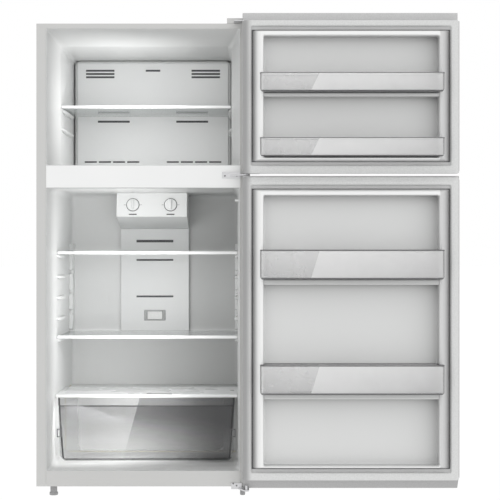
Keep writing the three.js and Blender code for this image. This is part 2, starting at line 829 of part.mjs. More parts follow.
function rightFoot() {
  const top = bracketZ[0] - 2;
  const head = turned([
    [0, 0],
    [8, 0],
    [9, 1],
    [9, top - 5],
    [6.5, top - 1],
    [0, top],
  ]);
  const stud = bar(footStud, [top - 2, cabinetBottom - 1], [0, 0, 0]);
  return head.add(stud).translate([footX, footY, 0]);
}

function leftFoot() {
  const top = cabinetBottom - touching;
  const profile = [
    [0, 0],
    [14, 0],
    [15, 1],
    [15, 9],
    [12, 12],
    [12, top],
    [0, top],
  ];
  return turned(profile).translate([58 - half, footY, 0]);
}

function switchPlunger() {
  return bar(3.5, [-8, 8], [fridgeHalf - 1, switchY, switchZ], "x");
}

// Door pieces. u runs from the hinge edge, w from the outer face towards the inside. The door's
// own frame has the hinge line at its origin, and it is drawn open.
function doorBlock([u0, u1], [w0, w1], zSpan) {
  return block([u0 - pinFromEdge, u1 - pinFromEdge], [pinDepth - w1, pinDepth - w0], zSpan);
}

function doorTaper(from, w0, to, w1) {
  const shift = ({ x, z }) => ({ x: x.map((u) => u - pinFromEdge), z });
  return taper(shift(from), pinDepth - w0, shift(to), pinDepth - w1);
}

const doorInner = [doorSkin + touching, cabinetWidth - doorSkin - touching];

// The sunken panels' range in height.
function panelSpan(door) {
  const rim = frameEndInset + frameCrest + 3;
  return [door.innerLow + rim, door.innerHigh - rim - 10];
}

function ridgeTops(door) {
  const [low, high] = panelSpan(door);
  return door.shares.map((share) => low + share * (high - low));
}

// The door's inner shape, pulled in by an inset: slab, raised frame, sunken panels and ridges.
function doorCore(door, inset, start) {
  const across = [doorInner[0] + inset, doorInner[1] - inset];
  const upDown = [door.innerLow + inset, door.innerHigh - inset];
  const slab = doorBlock(across, [start, doorThickness - inset], upDown);
  const edge = frameInset + inset;
  const ends = frameEndInset + inset;
  const foot = {
    x: [edge, cabinetWidth - edge],
    z: [door.innerLow + ends, door.innerHigh - ends],
  };
  const slope = frameSlope;
  const crest = {
    x: [edge + slope, cabinetWidth - edge - slope],
    z: [foot.z[0] + frameCrest, foot.z[1] - frameCrest],
  };
  const top = doorThickness + frameHeight - inset;
  const frame = doorTaper(foot, doorThickness - inset - 1, crest, top);
  const side = frameInset + frameSlope + frameCrest - inset;
  const [low, high] = panelSpan(door);
  const floor = doorThickness - panelSink - inset;
  const sunk = doorBlock([side, cabinetWidth - side], [floor, top + 9], [low - inset, high + inset]);
  const ridges = ridgeTops(door).map((z) =>
    doorBlock([side - 1, cabinetWidth - side + 1], [floor - 1, floor + ridgeHeight], [
      z - door.ridgeThickness + inset,
      z - inset,
    ]),
  );
  return joinAll([slab.add(frame).subtract(sunk), ...ridges]);
}

function pinBore(zSpan) {
  return bar(pinRadius + running, zSpan, [0, 0, 0]);
}

function doorCap(door, end, gap) {
  const isTop = end === "top";
  const inner = isTop
    ? [door.innerHigh - capDepth - gap, door.innerHigh]
    : [door.innerLow, door.innerLow + capDepth + gap];
  const outer = isTop ? [door.innerHigh + touching, door.high] : [door.low, door.innerLow - touching];
  const depth = isTop ? door.highDepth : door.lowDepth;
  const joint = [Math.min(inner[0], outer[0]), Math.max(inner[1], outer[1])];
  const plug = doorBlock(doorInner, [doorSkin + touching, Math.min(linerStart - touching, depth)], joint);
  const seat = doorBlock(doorInner, [doorSkin + touching, linerStart - touching + gap], inner);
  const lip = doorBlock(doorInner, [doorSkin + touching, depth], outer);
  return joinAll([plug, seat, lip]);
}

function doorSkinSheet(door) {
  const outside = doorBlock([0, cabinetWidth], [0, doorThickness], [door.low, door.high]);
  const inside = doorBlock([doorSkin, cabinetWidth - doorSkin], [doorSkin, doorThickness + 1], [
    door.low - 1,
    door.high + 1,
  ]);
  const all = [-1, cabinetWidth + 1];
  const above = doorBlock(all, [door.highDepth, doorThickness + 1], [door.innerHigh, door.high + 1]);
  const below = doorBlock(all, [door.lowDepth, doorThickness + 1], [door.low - 1, door.innerLow]);
  return outside.subtract(joinAll([inside, above, below]));
}

function doorFoam(door) {
  const start = doorSkin + touching;
  return doorCore(door, linerSheet + touching, start)
    .subtract(doorCap(door, "top", touching))
    .subtract(doorCap(door, "bottom", touching))
    .subtract(pinBore([door.low - 1, door.innerLow + capDepth + 8]));
}

function doorGasket(door) {
  const wSpan = [doorThickness + touching, doorThickness + touching + gasketThickness];
  const outer = pinFromEdge;
  const inner = outer + gasketWidth;
  const zSpan = [door.innerLow + 2, door.innerHigh - 2];
  const ring = doorBlock([outer, cabinetWidth - outer], wSpan, zSpan);
  const middle = doorBlock([inner, cabinetWidth - inner], [doorThickness, doorThickness + 99], [
    zSpan[0] + gasketWidth,
    zSpan[1] - gasketWidth,
  ]);
  return ring.subtract(middle);
}

// A bin: a narrow back between the frame's sides and a wider front over them.
function doorBin(low, height) {
  const side = frameInset + frameSlope + frameCrest + binPinch;
  const wide = side - binOverlap - binPinch;
  const back = doorThickness - panelSink + binPinch;
  const crest = doorThickness + frameHeight + 3;
  const front = doorThickness + binReach;
  const shape = (inset, rise) => {
    const zSpan = [low + inset, low + height + rise];
    const innerU = [side + inset, cabinetWidth - side - inset];
    const outerU = [wide + inset, cabinetWidth - wide - inset];
    const narrow = doorBlock(innerU, [back + inset, front - inset], zSpan);
    return narrow.add(doorBlock(outerU, [crest + inset, front - inset], zSpan));
  };
  return shape(0, 0).subtract(shape(binWall, 1));
}

function doorPieces(name, door) {
  const turn = new THREE.Group();
  turn.position.set(pinX, pinY, 0);
  const topBore = pinBore([door.innerHigh - capDepth - 1, door.high + 1]);
  const lowBore = pinBore([door.low - 1, door.innerLow + capDepth + 1]);
  const shell = doorCore(door, 0, linerStart).subtract(doorCore(door, linerSheet, 0));
  turn.add(piece(`${name}_skin`, painted, doorSkinSheet(door)));
  turn.add(piece(`${name}_liner`, linerWhite, shell));
  turn.add(piece(`${name}_foam`, foam, doorFoam(door)));
  turn.add(piece(`${name}_gasket`, gasketGrey, doorGasket(door)));
  turn.add(piece(`${name}_top_cap`, painted, doorCap(door, "top", 0).subtract(topBore)));
  turn.add(piece(`${name}_bottom_cap`, painted, doorCap(door, "bottom", 0).subtract(lowBore)));
  return turn;
}

const refrigerator = new THREE.Group();
const cabinet = new THREE.Group();
refrigerator.add(cabinet);
cabinet.add(piece("cabinet_shell", painted, cabinetShell()));
cabinet.add(piece("rear_panel", galvanised, rearPanel()));
cabinet.add(piece("cabinet_foam", foam, cabinetFoam()));
cabinet.add(piece("fridge_liner", linerWhite, fridgeLiner()));
cabinet.add(piece("freezer_liner", linerWhite, freezerLiner()));
cabinet.add(piece("mullion_cover", linerWhite, mullionCover()));
cabinet.add(piece("front_base_rail", painted, frontBaseRail()));
cabinet.add(piece("bottom_panel", galvanised, bottomPanel()));
cabinet.add(piece("compressor_base", galvanised, compressorBase()));
cabinet.add(piece("compressor", blackPaint, compressor()));
cabinet.add(piece("drain_tube", linerWhite, drainTube()));
cabinet.add(piece("machine_cover", galvanised, machineCover()));
cabinet.add(piece("cord_gland", rubber, cordGland()));
cabinet.add(piece("evaporator_cover", linerWhite, evaporatorCover()));
cabinet.add(piece("evaporator_coil", aluminium, evaporatorCoil()));
cabinet.add(piece("evaporator_fan", darkPlastic, evaporatorFan()));
cabinet.add(piece("evaporator_fan_motor", darkPlastic, fanMotor()));
cabinet.add(piece("air_duct_panel", linerWhite, airDuctPanel()));
cabinet.add(piece("lamp_lens", clear, lampLens()));
cabinet.add(piece("control_housing", linerWhite, controlHousing()));
cabinet.add(piece("shelf_support_left", linerWhite, shelfSupport(-1)));
cabinet.add(piece("shelf_support_right", linerWhite, shelfSupport(1)));
cabinet.add(piece("upper_shelf_glass", glass, shelfGlass(highShelf)));
cabinet.add(piece("upper_shelf_trim", linerWhite, shelfTrim(highShelf)));
cabinet.add(piece("lower_shelf_glass", glass, shelfGlass(lowShelf)));
cabinet.add(piece("lower_shelf_trim", linerWhite, shelfTrim(lowShelf)));
cabinet.add(piece("freezer_shelf_glass", glass, freezerShelfGlass()));
cabinet.add(piece("freezer_shelf_trim", linerWhite, freezerShelfTrim()));
cabinet.add(piece("crisper_cover_frame", linerWhite, crisperCoverFrame()));
cabinet.add(piece("crisper_cover_glass", glass, crisperCoverGlass()));
cabinet.add(piece("humidity_slider", darkPlastic, humiditySlider()));
cabinet.add(piece("crisper_drawer", clear, crisperDrawer()));
cabinet.add(piece("top_hinge_bracket", zinc, topHingeBracket()));
cabinet.add(piece("top_hinge_cover", painted, topHingeCover()));
cabinet.add(piece("middle_hinge_bracket", zinc, middleHingeBracket()));
cabinet.add(piece("bottom_hinge_bracket", zinc, bottomHingeBracket()));
cabinet.add(piece("door_switch_plunger", linerWhite, switchPlunger()));
cabinet.add(piece("levelling_foot_left", darkPlastic, leftFoot()));
cabinet.add(piece("levelling_foot_right", darkPlastic, rightFoot()));
cabinet.add(piece("rear_roller_left", darkPlastic, roller(-1)));
cabinet.add(piece("rear_roller_right", darkPlastic, roller(1)));

for (const [name, side] of [["freezer_dial", -1], ["fridge_dial", 1]]) {
  const knob = piece(name, linerWhite, dial());
  knob.position.set(side * dialSpacing, dialY, dialZ);
  knob.rotation.x = Math.PI / 2 - faceLean;
  cabinet.add(knob);
}

const damper = piece("air_damper", linerWhite, airDamper());
damper.position.set(0, damperY, damperZ);
cabinet.add(damper);

const freezerDoorGroup = doorPieces("freezer_door", freezerDoor);
const fridgeDoorGroup = doorPieces("fridge_door", fridgeDoor);
cabinet.add(freezerDoorGroup, fridgeDoorGroup);

const [freezerPanelLow] = panelSpan(freezerDoor);
const [freezerRidge] = ridgeTops(freezerDoor);
const [lowRidge, highRidge] = ridgeTops(fridgeDoor);
const freezerBin = (low) => doorBin(low, freezerDoor.binHeight);
const fridgeBin = (low) => doorBin(low, fridgeDoor.binHeight);
freezerDoorGroup.add(piece("freezer_bin_lower", clear, freezerBin(freezerPanelLow + 3)));
freezerDoorGroup.add(piece("freezer_bin_upper", clear, freezerBin(freezerRidge + touching)));
fridgeDoorGroup.add(piece("fridge_bin_lower", clear, fridgeBin(lowRidge + touching)));
fridgeDoorGroup.add(piece("fridge_bin_upper", clear, fridgeBin(highRidge + touching)));

// The origin is under the middle of the box that holds the open refrigerator.
const frontMost = pinY + pinDepth - doorThickness - binReach;
refrigerator.position.set(-pinX, -(frontMost + cabinetDepth) / 2, 0);

export default refrigerator;
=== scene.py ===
import json
import math

import bmesh
import bpy
import numpy as np
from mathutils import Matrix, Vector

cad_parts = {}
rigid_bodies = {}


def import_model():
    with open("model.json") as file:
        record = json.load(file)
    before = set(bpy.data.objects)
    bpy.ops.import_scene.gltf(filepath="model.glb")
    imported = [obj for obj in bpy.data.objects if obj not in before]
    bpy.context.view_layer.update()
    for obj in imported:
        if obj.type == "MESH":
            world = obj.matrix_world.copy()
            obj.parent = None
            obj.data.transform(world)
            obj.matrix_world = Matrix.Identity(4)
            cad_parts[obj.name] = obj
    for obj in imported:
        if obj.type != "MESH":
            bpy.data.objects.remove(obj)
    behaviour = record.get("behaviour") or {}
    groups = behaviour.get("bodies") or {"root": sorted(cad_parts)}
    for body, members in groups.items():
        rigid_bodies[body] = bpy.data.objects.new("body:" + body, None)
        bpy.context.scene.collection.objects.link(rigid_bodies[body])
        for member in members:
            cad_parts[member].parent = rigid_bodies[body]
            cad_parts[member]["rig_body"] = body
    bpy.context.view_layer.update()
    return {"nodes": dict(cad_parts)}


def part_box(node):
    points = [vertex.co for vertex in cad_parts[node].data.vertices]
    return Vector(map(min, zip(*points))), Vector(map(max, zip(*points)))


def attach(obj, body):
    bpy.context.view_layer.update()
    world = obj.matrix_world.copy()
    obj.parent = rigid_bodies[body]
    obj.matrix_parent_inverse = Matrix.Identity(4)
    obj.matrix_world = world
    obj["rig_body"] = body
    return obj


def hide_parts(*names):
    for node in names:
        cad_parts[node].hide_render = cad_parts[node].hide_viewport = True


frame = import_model()
print("frame loaded")


# Shader tools: a wire is one output of a node, and arithmetic on it adds nodes.
class Wire:
    def __init__(self, shader, socket):
        self.shader = shader
        self.socket = socket

    def maths(self, operation, *values, clamp=False):
        node = self.shader.tree.nodes.new("ShaderNodeMath")
        node.operation = operation
        node.use_clamp = clamp
        for place, value in zip(node.inputs, values):
            self.shader.plug(value, place)
        return Wire(self.shader, node.outputs[0])

    def __add__(self, other):
        return self.maths("ADD", self, other)

    def __sub__(self, other):
        return self.maths("SUBTRACT", self, other)

    def __mul__(self, other):
        return self.maths("MULTIPLY", self, other)

    def __truediv__(self, other):
        return self.maths("DIVIDE", self, other)

    def __radd__(self, other):
        return self.maths("ADD", other, self)

    def __rsub__(self, other):
        return self.maths("SUBTRACT", other, self)

    def __rmul__(self, other):
        return self.maths("MULTIPLY", other, self)

    # 0 below the start, 1 above the end, and a smooth rise between them.
    def rise(self, start, end):
        share = self.maths("DIVIDE", self - start, end - start, clamp=True)
        return share * share * (3 - 2 * share)


class Shader:
    def __init__(self, name):
        self.material = bpy.data.materials.new(name)
        self.material.use_nodes = True
        self.tree = self.material.node_tree
        self.surface = self.tree.nodes["Principled BSDF"]
        self.output = self.tree.nodes["Material Output"]

    def plug(self, value, place):
        if isinstance(value, Wire):
            self.tree.links.new(value.socket, place)
        elif place.type == "RGBA" and not isinstance(value, float):
            place.default_value = (*value[:3], 1)
        else:
            place.default_value = value

    def add(self, kind, inputs=None, output=0, **settings):
        node = self.tree.nodes.new("ShaderNode" + kind)
        for name, value in settings.items():
            setattr(node, name, value)
        for name, value in (inputs or {}).items():
            self.plug(value, node.inputs[name])
        return Wire(self, node.outputs[output])

    def place(self):
        return self.add("TexCoord", output="Object")

    def axis(self, name):
        return self.add("SeparateXYZ", {"Vector": self.place()}, name)

    def stretched(self, scale):
        return self.add("Mapping", {"Vector": self.place(), "Scale": scale})

    def span(self, name):
        place = self.add("Attribute", output="Vector", attribute_name="span")
        return self.add("SeparateXYZ", {"Vector": place}, name)

    def noise(self, scale, detail=2.0, where=None, distortion=0.0):
        inputs = {"Vector": where or self.place(), "Scale": scale, "Detail": detail, "Distortion": distortion}
        return self.add("TexNoise", inputs, "Fac")

    def cells(self, scale, output="Distance"):
        return self.add("TexVoronoi", {"Vector": self.place(), "Scale": scale}, output)

    def blend(self, factor, first, second):
        node = self.tree.nodes.new("ShaderNodeMix")
        node.data_type = "RGBA"
        self.plug(factor, node.inputs["Factor"])
        self.plug(first, node.inputs[6])
        self.plug(second, node.inputs[7])
        return Wire(self, node.outputs[2])

    def bump(self, height, distance, strength=1.0, normal=None):
        inputs = {"Height": height, "Distance": distance, "Strength": strength}
        if normal:
            inputs["Normal"] = normal
        return self.add("Bump", inputs)

    def set(self, **values):
        for name, value in values.items():
            self.plug(value, self.surface.inputs[name.replace("_", " ")])

    # Light passes straight through, tinted, except for the share that the surface sends back.
    def sheer(self, tint, share):
        through = self.add("BsdfTransparent", {"Color": tint})
        mixed = self.add("MixShader", {"Fac": share})
        node = mixed.socket.node
        self.tree.links.new(through.socket, node.inputs[1])
        self.tree.links.new(self.surface.outputs[0], node.inputs[2])
        self.tree.links.new(node.outputs[0], self.output.inputs["Surface"])


paintLook = {
    "colour": (0.575, 0.575, 0.565),
    "shade": 0.965,
    "roughness": 0.42,
    "peelScale": 420.0,
    "peelDepth": 0.00004,
}


def paintedSteel(name, look):
    shader = Shader(name)
    cloud = shader.noise(2.5, 3.0)
    peel = shader.noise(look["peelScale"], 1.0)
    dark = [part * look["shade"] for part in look["colour"]]
    shader.set(
        Base_Color=shader.blend(cloud.rise(0.3, 0.7), dark, look["colour"]),
        Roughness=look["roughness"] - 0.04 + 0.08 * shader.noise(35.0),
        Normal=shader.bump(peel, look["peelDepth"]),
    )
    shader.surface.inputs["Coat Weight"].default_value = 0.15
    return shader.material


whiteLook = {
    "colour": (0.86, 0.865, 0.86),
    "shade": (0.825, 0.832, 0.83),
    "roughness": 0.34,
    "grainScale": 700.0,
    "grainDepth": 0.00003,
    "waveScale": 7.0,
    "waveDepth": 0.0003,
}


# White plastic: a slow cloud in its colour, a fine grain, and the slight waves of a formed sheet.
def whitePlastic(name, look, waves):
    shader = Shader(name)
    cloud = shader.noise(3.0, 2.0)
    grain = shader.bump(shader.noise(look["grainScale"], 1.0), look["grainDepth"])
    if waves:
        grain = shader.bump(shader.noise(look["waveScale"], 0.0), look["waveDepth"], normal=grain)
    shader.set(
        Base_Color=shader.blend(cloud.rise(0.3, 0.7), look["shade"], look["colour"]),
        Roughness=look["roughness"] - 0.05 + 0.1 * shader.noise(60.0),
        Normal=grain,
    )
    return shader.material


capLook = {"colour": (0.6, 0.6, 0.6), "shade": (0.55, 0.55, 0.55), "roughness": 0.5}
gasketLook = {
    "colour": (0.68, 0.685, 0.68),
    "shade": (0.63, 0.635, 0.63),
    "hingeShade": (0.33, 0.33, 0.33),
    "roughness": 0.62,
}
darkLook = {"colour": (0.11, 0.11, 0.115), "shade": (0.075, 0.075, 0.08), "roughness": 0.5}
rubberLook = {"colour": (0.035, 0.035, 0.035), "shade": (0.025, 0.025, 0.025), "roughness": 0.75}
blackLook = {"colour": (0.02, 0.02, 0.021), "shade": (0.014, 0.014, 0.015), "roughness": 0.35}
foamLook = {"colour": (0.83, 0.76, 0.52), "shade": (0.7, 0.62, 0.38), "roughness": 0.9}


# A plain moulded or sprayed surface with a speckle in colour and roughness.
def speckled(name, look, scale=300.0, depth=0.00006):
    shader = Shader(name)
    speck = shader.noise(scale, 3.0)
    shader.set(
        Base_Color=shader.blend(speck.rise(0.35, 0.65), look["shade"], look["colour"]),
        Roughness=look["roughness"] - 0.06 + 0.12 * shader.noise(40.0),
        Normal=shader.bump(speck, depth),
    )
    return shader.material


# Soft vinyl, with painted shade that darkens it towards the hinge side.
def gasketVinyl(name, look):
    shader = Shader(name)
    speck = shader.noise(200.0, 3.0)
    side = shader.axis("X").rise(-0.004, 0.022)
    plain = shader.blend(speck.rise(0.35, 0.65), look["shade"], look["colour"])
    shader.set(
        Base_Color=shader.blend(side, look["hingeShade"], plain),
        Roughness=look["roughness"] - 0.06 + 0.12 * shader.noise(40.0),
        Normal=shader.bump(speck, 0.00006),
    )
    return shader.material


def foam(name, look):
    shader = Shader(name)
    cell = shader.cells(260.0)
    shader.set(
        Base_Color=shader.blend(cell.rise(0.1, 0.6), look["shade"], look["colour"]),
        Roughness=look["roughness"] - 0.05 * cell,
        Normal=shader.bump(cell, 0.0006),
    )
    return shader.material


metalLooks = {
    "galvanised": {"light": (0.62, 0.63, 0.64), "dark": (0.42, 0.43, 0.44), "roughness": 0.42},
    "zinc": {"light": (0.72, 0.72, 0.73), "dark": (0.55, 0.55, 0.56), "roughness": 0.3},
    "aluminium": {"light": (0.8, 0.81, 0.82), "dark": (0.66, 0.67, 0.68), "roughness": 0.36},
}


# Galvanised sheet shows crystals: each cell has its own grey and its own roughness.
def spangled(name, look):
    shader = Shader(name)
    tone = shader.add("SeparateColor", {"Color": shader.cells(55.0, "Color")}, "Red")
    shader.set(
        Base_Color=shader.blend(tone, look["dark"], look["light"]),
        Roughness=look["roughness"] - 0.1 + 0.2 * tone,
        Normal=shader.bump(shader.noise(150.0), 0.00008),
    )
    shader.surface.inputs["Metallic"].default_value = 0.85
    return shader.material


# Fine scratches: noise stretched far along one axis.
def brushed(name, look, along=(40.0, 900.0, 900.0)):
    shader = Shader(name)
    scratch = shader.noise(1.0, 3.0, shader.stretched(along))
    shader.set(
        Base_Color=shader.blend(scratch, look["dark"], look["light"]),
        Roughness=look["roughness"] - 0.08 + 0.16 * scratch,
        Normal=shader.bump(scratch, 0.00004),
    )
    shader.surface.inputs["Metallic"].default_value = 0.95
    return shader.material


glassLook = {"tint": (0.96, 0.967, 0.965), "haze": 0.08, "roughness": 0.06}
frostLook = {"tint": (0.94, 0.945, 0.945), "haze": 0.55, "roughness": 0.25}
clearLook = {"tint": (0.9, 0.92, 0.92), "haze": 0.16, "roughness": 0.12}


# Clear sheet: the share sent back is a haze plus the Fresnel curve, and both vary a little.
def clearSheet(name, look, colour=(0.8, 0.82, 0.82)):
    shader = Shader(name)
    cloud = shader.noise(6.0, 2.0)
    fresnel = shader.add("Fresnel", {"IOR": 1.45})
    wave = shader.bump(shader.noise(9.0, 0.0), 0.0003)
    shader.set(
        Base_Color=shader.blend(cloud, [part * 0.96 for part in colour], colour),
        Roughness=look["roughness"] + 0.05 * cloud,
        Normal=wave,
    )
    share = 0.9 * fresnel + look["haze"] * (0.94 + 0.12 * cloud)
    shader.sheer(look["tint"], share.maths("MINIMUM", share, 1.0))
    return shader.material


binClear = {
    "tint": (0.996, 0.996, 0.996),
    "haze": 0.26,
    "roughness": 0.1,
    "colour": (0.96, 0.96, 0.96),
    "edge": (0.16, 0.16, 0.165),
    "paintedHighlightLine": (0.272, 0.276),
    "fade": (0.27, 1.1),
}


# A bin is clear with dark rims, and a painted highlight: a faint slanting sheen that fades to the right.
def binPlastic(name, look):
    shader = Shader(name)
    across, height = shader.span("X"), shader.span("Z")
    lean = across - 0.05 * height
    paintedSheen = lean.rise(*look["paintedHighlightLine"]) * (1 - lean.rise(*look["fade"]))
    rim = height.rise(0.95, 0.965) + (1 - height.rise(0.04, 0.07))
    ends = (1 - across.rise(0.004, 0.008)) + across.rise(0.992, 0.996)
    edge = rim.maths("MAXIMUM", rim, ends)
    fresnel = shader.add("Fresnel", {"IOR": 1.3})
    cloud = shader.noise(14.0)
    share = look["haze"] * (0.9 + 0.2 * cloud) + 0.2 * paintedSheen + 0.5 * fresnel
    shader.set(
        Base_Color=shader.blend(edge, look["colour"], look["edge"]),
        Roughness=look["roughness"] + 0.05 * cloud,
        Normal=shader.bump(shader.noise(9.0, 0.0), 0.0002),
    )
    shader.sheer(look["tint"], share.maths("MAXIMUM", share, 0.8 * edge))
    return shader.material


drawerClear = {
    "tint": (0.997, 0.997, 0.997),
    "haze": 0.03,
    "roughness": 0.1,
    "clear": (0.6, 0.61, 0.61),
    "dark": (0.06, 0.06, 0.062),
    "slant": 0.026,
    "paintedHighlightLine": (0.36, 0.368),
    "band": (0.872, 0.876),
    "bandLine": (0.857, 0.866),
    "sideLine": (0.003, 0.006),
    "footLine": (0.02, 0.032),
}


# The drawer carries painted reflection and shade: darker right of a slanting line, and darker towards its top
# and its right.
# Dark lines run down its sides, which slope inwards, and along its foot and its top band.
def drawerPlastic(name, look):
    shader = Shader(name)
    across, depth, height = shader.span("X"), shader.span("Y"), shader.span("Z")
    lean = (across - 0.1 * height).rise(*look["paintedHighlightLine"])
    top = height.rise(0.2, 0.86)
    band = height.rise(*look["band"])
    left = 0.3 * top
    right = 0.02 + 0.5 * top + 0.35 * across * across
    body = left + lean * (right - left)
    paintedDrawerShade = body * (1 - band) + band * (0.1 + 0.25 * lean)
    slant = 0.004 + look["slant"] * (1 - height)
    near, far = across - slant, 1 - slant - across
    inside = near.rise(0.0, 0.004) * far.rise(0.0, 0.004)
    off = [edge.maths("ABSOLUTE", edge).rise(*look["sideLine"]) for edge in (near, far)]
    sides = 2 - off[0] - off[1]
    rims = 0.5 * ((1 - across.rise(0.003, 0.004)) + across.rise(0.996, 0.997))
    flat = (height.rise(*look["bandLine"]) * (1 - band) + (1 - height.rise(*look["footLine"]))) * inside
    line = flat + sides + rims
    paintedDrawerShade = paintedDrawerShade * inside
    facing = 1 - depth.rise(0.04, 0.08)
    cloud = shader.noise(8.0)
    fresnel = shader.add("Fresnel", {"IOR": 1.3})
    shade = facing * paintedDrawerShade.maths("MAXIMUM", paintedDrawerShade, 0.95 * line)
    shader.set(
        Base_Color=shader.blend(shade.rise(0.0, 0.1), look["clear"], look["dark"]),
        Roughness=look["roughness"] + 0.05 * cloud,
        Normal=shader.bump(shader.noise(9.0, 0.0), 0.0002),
    )
    share = shade + look["haze"] * (0.5 + 0.5 * cloud) * (1 - facing) + 0.4 * fresnel
    shader.sheer(look["tint"], share.maths("MINIMUM", share, 0.95))
    return shader.material


smallLooks = {
    "foot cap": {"colour": (0.42, 0.42, 0.42), "shade": (0.38, 0.38, 0.38), "roughness": 0.5},
    "foot": {"colour": (0.34, 0.34, 0.345), "shade": (0.27, 0.27, 0.27), "roughness": 0.5},
    "lens": {"colour": (0.93, 0.93, 0.92), "shade": (0.88, 0.88, 0.87), "roughness": 0.3},
    "recess": {"colour": (0.5, 0.5, 0.5), "shade": (0.45, 0.45, 0.45), "roughness": 0.5},
    "shoulder": {"colour": (0.66, 0.665, 0.66), "shade": (0.62, 0.625, 0.62), "roughness": 0.4},
    # This dark look serves printed marks, screws and clips, and also painted shade in the door groove, the
    # slider slot and round the dials.
    "seam": {"colour": (0.15, 0.15, 0.155), "shade": (0.1, 0.1, 0.1), "roughness": 0.6},
}
materials = {name: speckled(name.capitalize(), look) for name, look in smallLooks.items()}
materials["frost"] = clearSheet("Frosted cover", frostLook, (0.88, 0.885, 0.885))
materials |= {
    "painted_steel": paintedSteel("Painted steel", paintLook),
    "white_liner": whitePlastic("White liner", whiteLook, True),
    "white_plastic": whitePlastic("White plastic", whiteLook, False),
    "door_caps": speckled("Door caps", capLook),
    "insulation_foam": foam("Insulation foam", foamLook),
    "galvanised_steel": spangled("Galvanised steel", metalLooks["galvanised"]),
    "zinc_steel": brushed("Zinc steel", metalLooks["zinc"]),
    "black_steel": speckled("Black enamel", blackLook, 200.0),
    "aluminium_fins": brushed("Aluminium fins", metalLooks["aluminium"]),
    "dark_plastic": speckled("Dark plastic", darkLook),
    "gasket_vinyl": gasketVinyl("Gasket vinyl", gasketLook),
    "rubber_gland": speckled("Rubber", rubberLook),
    "shelf_glass": clearSheet("Shelf glass", glassLook),
    "clear_plastic": clearSheet("Clear plastic", clearLook),
}
binSheet = binPlastic("Bin plastic", binClear)
# The drawer's sheet carries painted reflection and shade.
paintedDrawerShade = drawerPlastic("Drawer plastic", drawerClear)
print("materials made")

nodeSlots = {}
for node, mesh in frame["nodes"].items():
    slots = [found.name for found in mesh.data.materials if found]
    nodeSlots[node] = slots[0].split(".")[0] if slots else "white_plastic"
    mesh.data.materials.clear()
    mesh.data.materials.append(materials[nodeSlots[node]])


def box(node):
    low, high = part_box(node)
    return np.array(low), np.array(high)


# A mesh object from points and faces, merged where points coincide.
def meshObject(name, points, faces, material, flip=False):
    mesh = bpy.data.meshes.new(name)
    mesh.from_pydata([tuple(point) for point in points], [], [list(face) for face in faces])
    shape = bmesh.new()
    shape.from_mesh(mesh)
    bmesh.ops.remove_doubles(shape, verts=shape.verts, dist=1e-6)
    if flip:
        bmesh.ops.reverse_faces(shape, faces=shape.faces)
    shape.to_mesh(mesh)
    shape.free()
    mesh.shade_smooth()
    mesh.materials.append(material)
    made = bpy.data.objects.new(name, mesh)
    bpy.context.scene.collection.objects.link(made)
    return made


def pointsOf(made):
    points = np.zeros(len(made.data.vertices) * 3, np.float32)
    made.data.vertices.foreach_get("co", points)
    return points.reshape(-1, 3)


# Each point also keeps its place in the piece's own box, from 0 to 1 along each axis.
def keepSpan(made):
    points = pointsOf(made)
    low, high = points.min(0), points.max(0)
    span = made.data.attributes.new("span", "FLOAT_VECTOR", "POINT")
    span.data.foreach_set("vector", ((points - low) / (high - low)).astype(np.float32).ravel())
    return made


def thicken(made, thickness):
    wall = made.modifiers.new("Wall", "SOLIDIFY")
    wall.thickness = thickness
    wall.offset = -1
    wall.use_even_offset = True
    return made


def evenNormals(made):
    weighted = made.modifiers.new("Flats", "WEIGHTED_NORMAL")
    weighted.weight = 100
    return made


def rounded(made, width, segments=3):
    bevel = made.modifiers.new("Edges", "BEVEL")
    bevel.width = width
    bevel.segments = segments
    bevel.limit_method = "ANGLE"
    bevel.angle_limit = math.radians(25)
    return evenNormals(made)


def fit(made, body, nodes=()):
    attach(made, body)
    if nodes:
        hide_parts(*nodes)
    return made


# A copy of a CAD node with merged points, joined flat faces and rounded edges, in its place.
def refine(node, width, segments=3, material=None):
    source = frame["nodes"][node]
    shape = bmesh.new()
    shape.from_mesh(source.data)
    bmesh.ops.remove_doubles(shape, verts=shape.verts, dist=2e-5)
    bmesh.ops.dissolve_limit(shape, angle_limit=math.radians(1), verts=shape.verts, edges=shape.edges)
    mesh = bpy.data.meshes.new(node + "_shaped")
    shape.to_mesh(mesh)
    shape.free()
    mesh.shade_smooth()
    mesh.materials.append(material or materials[nodeSlots[node]])
    made = bpy.data.objects.new(node + "_shaped", mesh)
    bpy.context.scene.collection.objects.link(made)
    rounded(made, width, segments)
    return fit(made, source["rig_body"], [node])


def softBox(name, low, high, width, material, segments=4):
    (x0, y0, z0), (x1, y1, z1) = low, high
    points = [(x, y, z) for z in (z0, z1) for y in (y0, y1) for x in (x0, x1)]
    faces = [(0, 2, 3, 1), (4, 5, 7, 6), (0, 1, 5, 4), (2, 6, 7, 3), (0, 4, 6, 2), (1, 3, 7, 5)]
    return rounded(meshObject(name, points, faces, material), width, segments)


def rectangle(x0, x1, z0, z1):
    return [(x0, z0), (x1, z0), (x1, z1), (x0, z1)]


# A closed outline with a conic arc at each corner, which starts and ends a radius from the corner.
def outline(corners, radius, arc):
    corners = np.asarray(corners, float)
    before = np.roll(corners, 1, 0) - corners
    after = np.roll(corners, -1, 0) - corners
    lengths = [np.linalg.norm(way, axis=1)[:, None] for way in (before, after)]
    cut = np.minimum(radius, 0.49 * np.minimum(*lengths))
    start = (corners + before / lengths[0] * cut)[:, None]
    end = (corners + after / lengths[1] * cut)[:, None]
    share = np.linspace(0, 1, arc + 1)[None, :, None]
    pull = 2 * math.sqrt(0.5) * share * (1 - share)
    total = (1 - share) ** 2 + pull + share**2
    arcs = ((1 - share) ** 2 * start + pull * corners[:, None] + share**2 * end) / total
    return arcs.reshape(-1, 2)


